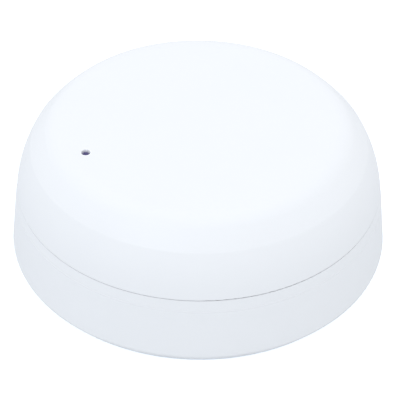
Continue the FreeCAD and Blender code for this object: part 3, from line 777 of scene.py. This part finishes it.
def fitted_rows(node, count, pitch, *parts):
    """Puts rows of parts in the scene, each as (name, mesh, slot, material, what it stands for)."""
    for name, part, slot, material, *stands_for in parts:
        fitted(name, rows_of(part, count, pitch, node, material), slot, material, *stands_for)


for node, per_side, pitch, sides, stands_for in (
        ("control_chip", 8, lead_pitch, 4, ["control_chip_leads"]),
        ("microphone_amplifier", 4, amp_lead_pitch, 2, [])):
    middle, size = middle_of(node)
    body = bar(size.x, size.y, board_top + chip_gap, board_top + size.z, chip_chamfer, middle, steps=1)
    dimple = turned([(0, -dimple_depth), (dimple_radius, -dimple_depth), (dimple_radius, overshoot),
                     (0, overshoot)], segments=24)
    body = cut_out(body, moved(dimple, middle.x - size.x / 2 + dimple_inset,
                               middle.y + size.y / 2 - dimple_inset, board_top + size.z))
    fitted(node + "_body", body, "black_plastic", chip_epoxy, node)
    side = size.x / 2
    half_height = 0.5 * size.z
    lead = bent_strip([(side - lead_root, half_height), (side + lead_root, half_height),
                       (side + 0.32 * MM, half_height - lead_foot),
                       (side + 0.45 * MM, 2 * lead_foot), (side + 0.55 * MM, lead_foot),
                       (side + lead_reach, lead_foot)], lead_sheet, lead_width)
    solder = bar(pad_length, pad_width, 0.0, pad_height, 0.025 * MM,
                 (side + lead_reach - pad_length / 3, 0), steps=1)
    leads = rows_of(joined(lead, solder), per_side, (0, pitch, 0), node, bright_tin, sides)
    fitted(node + "_gull_leads", leads, "nickel", bright_tin, *stands_for)

# Crystal: a low metal can on a wider metal foot, beside the control chip.
# Both are tinned alike, so they are one mesh.
crystal_lip = 0.25 * MM
crystal_foot_share = 0.4
crystal_overlap = 0.1
middle, size = middle_of("crystal")
foot = bar(size.x, size.y, board_top, board_top + crystal_foot_share * size.z, 0.08 * MM, middle)
lid_low = board_top + (crystal_foot_share - crystal_overlap) * size.z
lid = bar(size.x - 2 * crystal_lip, size.y - 2 * crystal_lip, lid_low, board_top + size.z, 0.22 * MM,
          middle, steps=3)
fitted("crystal_can", joined(foot, lid), "tin", bright_tin, "crystal")

# Chip capacitors and resistors: ceramic blocks with tinned ends, reflow soldered in two rows.
# The capacitors are tan and the resistors are glazed black.
chip_length = 1.6 * MM
end_cap = 0.32 * MM
end_overlap = 0.05 * MM
fillet = 0.22 * MM
fillet_side = 0.08 * MM
fillet_height = 0.12 * MM
block_share = 0.97
tan_colour = (0.36, 0.22, 0.11, 1)
glaze_colour = (0.012, 0.012, 0.014, 1)
tan_ceramic = moulded_plastic("tan_ceramic", tan_colour, roughness=0.45, grain=0.2 * MM,
                              depth=0.003 * MM, clouds=0.2)
black_glaze = moulded_plastic("black_glaze", glaze_colour, roughness=0.25, grain=0.3 * MM,
                              depth=0.002 * MM, clouds=0.2)
for node, count, ceramic, slot in (("chip_capacitors", 5, tan_ceramic, "ceramic"),
                                   ("chip_resistors", 4, black_glaze, "black_plastic")):
    middle, size = middle_of(node)
    pitch = ((size.x - chip_length) / (count - 1), 0, 0)
    block = bar(chip_length - 2 * end_cap + 2 * end_overlap, size.y * block_share, 0.03 * MM,
                size.z * block_share, 0.04 * MM)
    ends = []
    for side in (-1, 1):
        place = (side * (chip_length - end_cap) / 2, 0)
        ends.append(bar(end_cap, size.y, 0.0, size.z, 0.07 * MM, place, steps=3))
        ends.append(bar(end_cap + 2 * fillet, size.y + 2 * fillet_side, 0.0, fillet_height,
                        0.055 * MM, place))
    fitted_rows(node, count, pitch, (node + "_blocks", block, slot, ceramic, node),
                (node + "_ends", joined(*ends), "tin", bright_tin))

# Can capacitors: aluminium cans rolled in over a black foot, each on its square base.
# The top is scored with a cross to vent and printed black over one side, to mark the negative end.
can_radius = 3.15 * MM
can_groove = 0.25 * MM
base_height = 0.7 * MM
base_corner_cut = 2 * MM
base_corner_out = 0.35 * MM
score_length = 3.6 * MM
score_width = 0.14 * MM
score_depth = 0.12 * MM
top_dip = 0.06 * MM
print_share = 0.42
aluminium_colour = (0.74, 0.75, 0.77, 1)
can_print_colour = (0.012, 0.012, 0.013, 1)
size = middle_of("can_capacitors")[1]
step = (size.x - 2 * can_radius, size.y - 2 * can_radius, 0)
can_foot = base_height * 0.6
# How far the can's outline lies inside its radius, at each height.
can_outline = [(can_radius, can_foot), (0.5 * MM, can_foot), (0.1 * MM, base_height + 0.1 * MM),
               (0.05 * MM, 1.2 * MM), (can_groove, 1.5 * MM), (can_groove, 1.75 * MM),
               (0.05 * MM, 2.05 * MM), (0.05 * MM, size.z - 0.45 * MM),
               (0.18 * MM, size.z - 0.14 * MM), (0.48 * MM, size.z), (0.75 * MM, size.z - top_dip),
               (can_radius, size.z - top_dip)]
can = turned([(can_radius - inside, height) for inside, height in can_outline], segments=64)
for turn in (0, math.pi / 2):
    score = bar(score_length, score_width, size.z - score_depth - top_dip, size.z + overshoot)
    can = cut_out(can, moved(score, turn=turn))
marked = can.attributes.new("own_place", "FLOAT_VECTOR", "POINT")
marked.data.foreach_set("vector", [value for vertex in can.vertices for value in vertex.co])
can_paint, tree, shader = plain_material("aluminium_can")
skin = use_effect(tree, metal_skin, Colour=aluminium_colour, Roughness=0.28, Streak_Size=0.4 * MM,
                  Stretch=1.0, Depth=0.001 * MM)
place = parted(tree, wired(tree, "ShaderNodeAttribute", {}, "Vector", attribute_name="own_place"))
printed = sums(tree, "MULTIPLY", sums(tree, "GREATER_THAN", place["Z"], size.z - 2 * top_dip),
               sums(tree, "LESS_THAN", place["X"], -print_share * can_radius))
dressed(tree, shader, mixed(tree, printed, skin["Colour"], can_print_colour),
        sums(tree, "MULTIPLY_ADD", printed, 0.3, skin["Roughness"]), skin["Height"])
tree.links.new(sums(tree, "SUBTRACT", 1.0, printed), shader.inputs["Metallic"])
corner = can_radius + base_corner_out
base = cut_out(bar(2 * can_radius, 2 * can_radius, 0.0, base_height, 0.12 * MM),
               moved(bar(base_corner_cut, base_corner_cut, -overshoot, base_height + overshoot),
                     corner, corner, turn=math.pi / 4))
fitted_rows("can_capacitors", 2, step, ("capacitor_cans", can, "tin", can_paint, "can_capacitors"),
            ("capacitor_bases", base, "black_plastic", black_nylon))

# Learn button: a small push switch with a black foot, a steel top plate held by four rivets,
# four bent legs and a round nylon button that stands up through the plate.
switch_plate = 0.35 * MM
plate_edge = 0.05 * MM
rivet_radius = 0.45 * MM
rivet_height = 0.06 * MM
rivet_inset = 0.85 * MM
leg_width = 0.7 * MM
leg_sheet = 0.15 * MM
leg_pitch = 4.2 * MM
leg_top = 1.3 * MM
leg_out = 0.12 * MM
leg_foot = 0.1 * MM
plate_hole_gap = 0.07 * MM
well_depth = 1.2 * MM
well_reach = 2 * MM
button_rounding = 0.3 * MM
button_dip = 0.08 * MM
middle, size = middle_of("learn_switch")
low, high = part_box("learn_button")
cap_radius = (high.x - low.x) / 2
well_radius = cap_radius + plate_hole_gap
switch_top = board_top + size.z
plate_low = switch_top - switch_plate
plate_top = switch_top - rivet_height
foot = bar(size.x, size.y, board_top + 0.1 * MM, plate_low, 0.25 * MM, middle, steps=1)
well = turned([(0, -well_reach), (well_radius, -well_reach), (well_radius, well_reach),
               (0, well_reach)], segments=64)
foot = cut_out(foot, moved(well, middle.x, middle.y, switch_top + well_reach - well_depth))
plate = bar(size.x - 2 * plate_edge, size.y - 2 * plate_edge, plate_low, plate_top, 0.1 * MM, middle)
plate = cut_out(plate, moved(well, middle.x, middle.y, switch_top))
rivet = turned([(0, 0), (rivet_radius, 0), (rivet_radius, 0.02 * MM),
                (rivet_radius * 0.7, rivet_height), (0, rivet_height)], segments=20)
corner = size.x / 2 - rivet_inset
rivets = rows_of(moved(rivet, corner, corner), 1, (0, 0, 0), "learn_switch", bright_tin, sides=4,
                 level=plate_top)
side = size.x / 2
leg = bent_strip([(side - 0.3 * MM, leg_top), (side - 0.05 * MM, leg_top),
                  (side + leg_out, 1.1 * MM), (side + leg_out, 0.4 * MM),
                  (side + 0.3 * MM, leg_foot), (side + 0.9 * MM, leg_foot)], leg_sheet, leg_width)
legs = rows_of(leg, 2, (0, leg_pitch, 0), "learn_switch", bright_tin, sides=2)
fitted("learn_switch_foot", foot, "black_plastic", black_nylon)
fitted("learn_switch_plate", joined(plate, rivets, legs), "steel", bright_tin, "learn_switch")
cap = turned([(0, low.z), (cap_radius, low.z), (cap_radius, high.z - button_rounding),
              (cap_radius - 0.09 * MM, high.z - 0.09 * MM), (cap_radius - button_rounding, high.z),
              (cap_radius - 0.5 * MM, high.z), (cap_radius - 0.65 * MM, high.z - button_dip),
              (0, high.z - button_dip)], segments=64)
fitted("learn_button_cap", moved(cap, middle.x, middle.y), "black_plastic", black_nylon,
       "learn_button", body="learn_button")

# Sensitivity switch: a blue moulded body with two slots, and a white slider in each.
# The sliders' numbers are printed white at its front edge, and ON at its back edge.
switch_blue = (0.008, 0.055, 0.33, 1)
print_white = (0.80, 0.80, 0.78, 1)
slider_travel = 1.5 * MM
slot_gap = 0.06 * MM
slot_depth = 1.2 * MM
nub_height = 0.5 * MM
mark_height = 1.15 * MM
mark_inset = 1.0 * MM
mark_level = 0.01 * MM
mark_rise = 0.012 * MM
blue_plastic = moulded_plastic("blue_plastic", switch_blue, roughness=0.42, grain=0.22 * MM,
                               depth=0.004 * MM, clouds=0.1)
white_print = moulded_plastic("white_print", print_white, roughness=0.6, grain=0.1 * MM,
                              depth=0.002 * MM, clouds=0.08)
middle, size = middle_of("sensitivity_switch")
switch_top = board_top + size.z
body = bar(size.x, size.y, board_top, switch_top, 0.15 * MM, middle)
marks = []
for number in ("1", "2"):
    node = "sensitivity_slider_" + number
    slider, slider_size = middle_of(node)
    body = cut_out(body, bar(slider_size.x + 2 * slot_gap, slider_size.y + slider_travel + 2 * slot_gap,
                             switch_top - slot_depth, switch_top + overshoot,
                             centre=(slider.x, middle.y)))
    nub = bar(slider_size.x, slider_size.y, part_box(node)[0].z, switch_top + nub_height, 0.12 * MM,
              slider, steps=3)
    fitted("slider_nub_" + number, nub, "white_plastic", acetal, node, body="slider_" + number)
    marks.append((number, slider.x, middle.y - size.y / 2 + mark_inset))
marks.append(("ON", middle.x, middle.y + size.y / 2 - mark_inset))
fitted("sensitivity_switch_body", body, "blue_plastic", blue_plastic, "sensitivity_switch")


def print_mark(text, x, y):
    """Flat printed characters on the switch, as a thin raised mesh."""
    curve = bpy.data.curves.new("mark", "FONT")
    curve.body = text
    curve.size = mark_height
    curve.extrude = mark_rise
    curve.align_x = "CENTER"
    curve.align_y = "CENTER"
    return moved(plain(held(curve)), x, y, switch_top + mark_level)


fitted("switch_marks", joined(*[print_mark(*mark) for mark in marks]), "white_plastic", white_print)

# Status lights: two clear lenses on white feet, for the installer's test.
# The foot is moulded round two tinned strips and the lens is cast on it.
led_count = 2
lens_radius = 0.62 * MM
lens_base = 0.45 * MM
lens_rim = 0.02 * MM
lens_sink = 0.05 * MM
tip_width = 0.3 * MM
tip_height = 0.2 * MM
tip_reach = 0.15 * MM
tip_spread = 0.45 * MM
lens_colour = (0.88, 0.90, 0.80, 1)
lens_roughness = 0.12
size = middle_of("status_leds")[1]
pitch = (0, (size.y - size.x) / (led_count - 1), 0)
dome_foot = lens_base + lens_rim
dome = [(lens_radius * math.cos(a), dome_foot + (size.z - dome_foot) * math.sin(a))
        for a in [math.radians(15 * k) for k in range(6)]]
lens = turned([(0, lens_base - lens_sink), (lens_radius, lens_base - lens_sink), *dome, (0, size.z)],
              segments=32)
foot = bar(size.x, size.x, 0.0, lens_base, 0.06 * MM)
tips = [bar(size.x + 2 * tip_reach, tip_width, 0.0, tip_height, 0.05 * MM, (0, side * tip_spread))
        for side in (-1, 1)]
cast_lens, tree, shader = plain_material("cast_lens", lens_roughness)
skin = use_effect(tree, moulded_skin, Colour=lens_colour, Roughness=lens_roughness,
                  Grain_Size=0.5 * MM, Grain_Depth=0.001 * MM, Clouds=0.08)
tree.links.new(skin["Colour"], shader.inputs["Base Color"])
shader.inputs["Transmission Weight"].default_value = 0.6
shader.inputs["IOR"].default_value = 1.5
raised(tree, shader, skin["Height"])
fitted_rows("status_leds", led_count, pitch, ("led_lenses", lens, "led", cast_lens, "status_leds"),
            ("led_feet", foot, "white_plastic", acetal),
            ("led_ends", joined(*tips), "tin", bright_tin))

# Service header: five square gold-plated pins pressed through a black block with chamfered cells.
# The pins are pointed at the top and soldered into the board.
pin_count = 5
pin_side = 0.64 * MM
pin_point = 0.5 * MM
pin_tip_share = 0.4
cell_chamfer = 0.35 * MM
cell_gap = 0.02 * MM
cell_foot = 0.05 * MM
gold_colour = (0.83, 0.60, 0.24, 1)
gold = bare_metal("gold_plate", gold_colour, roughness=0.22, streak=0.3 * MM)
size = middle_of("service_header")[1]
pitch = size.x / pin_count
draft = bmesh.new()
draft.from_mesh(bar(pitch - cell_gap, size.y, cell_foot, size.z))
upright = [edge for edge in draft.edges if abs(edge.verts[0].co.z - edge.verts[1].co.z) > size.z / 2]
bmesh.ops.bevel(draft, geom=upright, offset=cell_chamfer, segments=1, affect="EDGES")
cell = finished(draft, 30)
pin_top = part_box("header_pins")[1].z - board_top
place = Matrix.Translation((0, 0, pin_top - pin_point / 2))
draft = bmesh.new()
bmesh.ops.create_cone(draft, cap_ends=True, segments=4, radius1=pin_side / math.sqrt(2),
                      radius2=pin_side / math.sqrt(2) * pin_tip_share, depth=pin_point,
                      matrix=place @ Matrix.Rotation(math.pi / 4, 4, "Z"))
pin = joined(bar(pin_side, pin_side, 0.0, pin_top - pin_point), finished(draft, 20))
fitted_rows("service_header", pin_count, (pitch, 0, 0),
            ("header_block", cell, "black_plastic", black_nylon, "service_header"),
            ("gold_pins", pin, "gold", gold, "header_pins"))

# Microphone: an electret capsule in a rubber boot, on a nylon pillar that lifts it to the cover's port.
# Its two leads run down through the pillar. The boot seals against the collar inside the cover.
boot_rib = 0.22 * MM
boot_ribs = 3
boot_rounding = 0.15 * MM
mouth = 1.05 * MM
rubber_colour = (0.020, 0.020, 0.021, 1)
aluminium = bare_metal("drawn_aluminium", aluminium_colour, roughness=0.3, streak=0.3 * MM, stretch=1.0)
rubber = moulded_plastic("black_rubber", rubber_colour, roughness=0.75, grain=0.15 * MM,
                         depth=0.01 * MM, clouds=0.3)
finish_node("mic_pedestal", black_nylon)
finish_node("mic_capsule", aluminium)
finish_node("mic_leads", bright_tin)
low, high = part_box("mic_boot")
middle = (low + high) / 2
outer = (high.x - low.x) / 2
waist = outer - boot_rib
capsule_low, capsule_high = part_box("mic_capsule")
bore = (capsule_high.x - capsule_low.x) / 2
rib_pitch = (high.z - low.z - 2 * boot_rounding) / boot_ribs
profile = [(bore, low.z), (waist, low.z)]
for i in range(boot_ribs):
    for radius, share in ((waist, 0.2), (outer, 0.4), (outer, 0.6), (waist, 0.8)):
        profile.append((radius, low.z + (i + share) * rib_pitch))
profile += [(waist, high.z - boot_rounding), (waist - boot_rounding, high.z),
            (mouth + boot_rounding, high.z), (mouth, high.z - boot_rounding),
            (mouth, capsule_high.z), (bore, capsule_high.z)]
boot = turned(profile, segments=64, sharp=40, closed=True)
fitted("ribbed_boot", moved(boot, middle.x, middle.y), "black_rubber", rubber, "mic_boot")

# Solder joints: a shiny cone round each end of the aerial, which is soldered to the board from above.
joint_radius = 0.85 * MM
joint_height = 0.55 * MM
first_end_angle = math.radians(282)
last_end_angle = math.radians(348)
aerial_wire_radius = 0.5 * MM
solder_joint = turned([(0, 0), (joint_radius, 0), (joint_radius * 0.78, 0.1 * MM),
                       (joint_radius * 0.66, 0.26 * MM), (joint_radius * 0.60, joint_height),
                       (0, joint_height)], segments=24, sharp=60)
tree, given, end = grower("soldered_places", Places="Object", Joint="Object", Material="Material")
ended(tree, set_on(tree, shape_of(tree, given["Places"]), shape_of(tree, given["Joint"])),
      given["Material"], end)
aerial_radius = (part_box("aerial_wire")[0].x + aerial_wire_radius) / math.cos(first_end_angle)
spots = bpy.data.meshes.new("spots")
spots.from_pydata([(aerial_radius * math.cos(angle), aerial_radius * math.sin(angle), board_top)
                   for angle in (first_end_angle, last_end_angle)], [], [])
joints = grown(tree, Places=held(spots), Joint=held(solder_joint), Material=bright_tin)
fitted("solder_joints", joints, "tin", bright_tin)

# Battery holder: black nylon, open on top, with dips for fingers and a raised sign at each end.
# Two nickel-plated contacts stand in its ends, one with a coiled spring for the negative end.
sign_length = 2.0 * MM
sign_width = 0.45 * MM
sign_rise = 0.15 * MM
sign_from_end = 3.2 * MM
sign_height = 6.0 * MM
finish_node("battery_holder", black_nylon)
finish_node("contact_spring", nickel)
for node in ("contact_positive", "contact_negative"):
    middle, size = middle_of(node)
    low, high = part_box(node)
    blade = bar(size.x, size.y, low.z, high.z, 0.12 * MM, middle)
    fitted(node + "_blade", blade, "nickel", nickel, node)
low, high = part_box("battery_holder")
level = bar(sign_length, sign_width, -sign_rise, sign_rise, 0.05 * MM)
upright = bar(sign_width, sign_length, -sign_rise, sign_rise, 0.05 * MM)
signs = joined(moved(level, low.x + sign_from_end),
               moved(joined(level, upright), high.x - sign_from_end))
signs.transform(Matrix.Rotation(math.pi / 2, 4, "X"))
signs.transform(Matrix.Translation((0, low.y, board_top + sign_height)))
fitted("holder_signs", signs, "black_plastic", black_nylon)

# Battery: a lithium cell in a shrink sleeve, grooved near its positive end, with a nickel terminal.
# The sleeve is slate blue with a pale band and curls over both ends.
sleeve_colour = (0.030, 0.050, 0.095, 1)
band_colour = (0.62, 0.64, 0.66, 1)
band_start = 5.6 * MM
band_end = 7.6 * MM
groove_from_end = 3.0 * MM
groove_half_width = 0.9 * MM
groove_half_waist = 0.55 * MM
groove_depth = 0.35 * MM
sleeve_curl = 0.8 * MM
button_edge = 0.25 * MM
middle, size = middle_of("battery_cell")
radius = size.z / 2
right = size.x / 2
# The curl at one end, from the flat end out, as (radius, how far from the end).
curl = [(radius - sleeve_curl + sleeve_curl * math.sin(a), sleeve_curl * (1 - math.cos(a)))
        for a in [math.radians(15 * k) for k in range(1, 6)]]
groove = right - groove_from_end
profile = [(0, -right), (radius - sleeve_curl, -right)]
profile += [(out, -right + along) for out, along in curl]
profile += [(radius, -right + sleeve_curl), (radius, groove - groove_half_width),
            (radius - groove_depth / 2, groove - groove_half_waist), (radius - groove_depth, groove),
            (radius - groove_depth / 2, groove + groove_half_waist),
            (radius, groove + groove_half_width), (radius, right - sleeve_curl)]
profile += [(out, right - along) for out, along in reversed(curl)]
profile += [(radius - sleeve_curl, right), (0, right)]
cell = moved(turned(profile, segments=96, sharp=40), tip=math.pi / 2)
cell.transform(Matrix.Translation(middle))
sleeve, tree, shader = plain_material("shrink_sleeve")
skin = use_effect(tree, moulded_skin, Colour=sleeve_colour, Roughness=0.26, Grain_Size=1.6 * MM,
                  Grain_Depth=0.012 * MM, Clouds=0.15)
along = parted(tree, own(tree))["X"]
banded = sums(tree, "MULTIPLY", sums(tree, "GREATER_THAN", along, band_start),
              sums(tree, "LESS_THAN", along, band_end))
facing = sums(tree, "ABSOLUTE", parted(tree, own(tree, "Normal"))["X"])
bare_end = sums(tree, "GREATER_THAN", facing, 0.995)
shown = mixed(tree, bare_end, mixed(tree, banded, skin["Colour"], band_colour), nickel_colour)
dressed(tree, shader, shown, skin["Roughness"], skin["Height"])
tree.links.new(bare_end, shader.inputs["Metallic"])
fitted("sleeved_cell", cell, "cell_wrap", sleeve, "battery_cell")
middle, size = middle_of("battery_terminal")
radius = size.z / 2
button = turned([(0, 0), (radius, 0), (radius, size.x - button_edge),
                 (radius - 0.07 * MM, size.x - 0.07 * MM), (radius - button_edge, size.x),
                 (0, size.x)])
button = moved(button, tip=math.pi / 2)
button.transform(Matrix.Translation((middle.x - size.x / 2, middle.y, middle.z)))
fitted("terminal_button", button, "nickel", nickel, "battery_terminal")

# Front cover: satin white ABS with a flat crown, a soft shoulder and a crisp rim. It snaps on.
# Behind its one sound hole a woven acoustic mesh keeps dust off the microphone.
hole_radius = 1.05 * MM
# Painted light on the sound hole's wall: it is coloured lighter from a little outside the hole's radius
# inward.
hole_light_start = 0.10 * MM
hole_light_end = 0.04 * MM
cloth_rise = 0.72 * MM
cloth_edge = 0.05 * MM
# The dome starts and ends at these shares of the hole's radius.
dome_start = 0.92
dome_end = 0.62
thread_radius = 0.045 * MM
thread_pitch = 0.21 * MM
thread_colour = (0.135, 0.115, 0.28, 1)
hole_wall_light_colour = (0.97, 0.97, 0.97, 1)
finish_node("front_cover", case_abs)
low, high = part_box("acoustic_mesh")
middle = (low + high) / 2
disc_radius = (high.x - low.x) / 2

# Painted light: the wall of the sound hole is coloured much lighter than the grained skin, for the
# light that falls on it.
tree = case_abs.node_tree
shader = tree.nodes["Principled BSDF"]
skin_colour = shader.inputs["Base Color"].links[0].from_socket
flat_place = wired(tree, "ShaderNodeVectorMath", {0: own(tree), 1: (1, 1, 0)}, operation="MULTIPLY")
from_hole = wired(tree, "ShaderNodeVectorMath", {0: flat_place, 1: (middle.x, middle.y, 0)}, "Value",
                  operation="DISTANCE")
hole_light_mask = wired(tree, "ShaderNodeMapRange", {"Value": from_hole, "From Min": hole_radius + hole_light_start,
                                             "From Max": hole_radius + hole_light_end})
tree.links.new(mixed(tree, hole_light_mask, skin_colour, hole_wall_light_colour), shader.inputs["Base Color"])

# Threads over and under each other, each as long as the round piece is wide there.
tree, given, end = grower("woven_disc", Disc_Radius="Float", Thread_Radius="Float", Pitch="Float",
                          Threads="Int", Hole_Radius="Float", Rise="Float", Middle="Vector",
                          Material="Material")
woven_disc = tree
gaps = sums(tree, "SUBTRACT", given["Threads"], 1.0)
half_width = sums(tree, "MULTIPLY", gaps, sums(tree, "MULTIPLY", given["Pitch"], 0.5))
other_half = sums(tree, "MULTIPLY", half_width, -1.0)
thread = wired(tree, "GeometryNodeCurvePrimitiveLine",
               {"Start": vector(tree, other_half), "End": vector(tree, half_width)})
fine = wired(tree, "GeometryNodeResampleCurve",
             {"Curve": thread, "Count": sums(tree, "MULTIPLY_ADD", gaps, 4.0, 1.0)})
across = wired(tree, "GeometryNodeMeshLine",
               {"Count": given["Threads"], "Start Location": vector(tree, y=other_half),
                "Offset": vector(tree, y=given["Pitch"])})
loose = real(tree, set_on(tree, across, fine))
x, y = parted(tree, wired(tree, "GeometryNodeInputPosition", {}))[:2]
beat = sums(tree, "DIVIDE", math.pi, given["Pitch"])
waves = [sums(tree, "COSINE", sums(tree, "MULTIPLY", sums(tree, "ADD", along, half_width), beat))
         for along in (x, y)]
lift = sums(tree, "MULTIPLY", sums(tree, "MULTIPLY", *waves), given["Thread Radius"])
waved = wired(tree, "GeometryNodeSetPosition", {"Geometry": loose, "Offset": vector(tree, z=lift)})
reach = wired(tree, "ShaderNodeVectorMath", {0: vector(tree, x, y)}, "Value", operation="LENGTH")
outside = sums(tree, "GREATER_THAN", reach, given["Disc Radius"])
trimmed = wired(tree, "GeometryNodeDeleteGeometry", {"Geometry": waved, "Selection": outside})
round_thread = wired(tree, "GeometryNodeCurvePrimitiveCircle",
                     {"Resolution": 6, "Radius": given["Thread Radius"]})
warp = wired(tree, "GeometryNodeCurveToMesh",
             {"Curve": trimmed, "Profile Curve": round_thread, "Fill Caps": True})
weft = wired(tree, "GeometryNodeTransform", {"Geometry": warp, "Rotation": (math.pi, 0, math.pi / 2)})
both = tree.nodes.new("GeometryNodeJoinGeometry")
tree.links.new(warp, both.inputs[0])
tree.links.new(weft, both.inputs[0])
# The cloth is pressed up into the sound hole in a low dome.
swell = wired(tree, "ShaderNodeMapRange",
              {"Value": reach,
               "From Min": sums(tree, "MULTIPLY", given["Hole Radius"], dome_start),
               "From Max": sums(tree, "MULTIPLY", given["Hole Radius"], dome_end),
               "To Min": 0.0, "To Max": given["Rise"]}, interpolation_type="SMOOTHSTEP")
domed = wired(tree, "GeometryNodeSetPosition",
              {"Geometry": both.outputs[0], "Offset": vector(tree, z=swell)})
seated = wired(tree, "GeometryNodeTransform", {"Geometry": domed, "Translation": given["Middle"]})
ended(tree, seated, given["Material"], end)

gauze = moulded_plastic("acoustic_gauze", thread_colour, roughness=0.55, grain=0.05 * MM,
                        depth=0.002 * MM, clouds=0.2)
# An odd number of threads, so that one runs through the middle.
threads = int(2 * disc_radius / thread_pitch) // 2 * 2 + 1
woven = grown(woven_disc, Disc_Radius=disc_radius - cloth_edge, Thread_Radius=thread_radius,
              Pitch=thread_pitch, Threads=threads, Hole_Radius=hole_radius, Rise=cloth_rise,
              Middle=(middle.x, middle.y, high.z - 2.2 * thread_radius), Material=gauze)
woven.polygons.foreach_set("use_smooth", [True] * len(woven.polygons))
fitted("woven_gauze", woven, "mesh", gauze, "acoustic_mesh", body="cover")
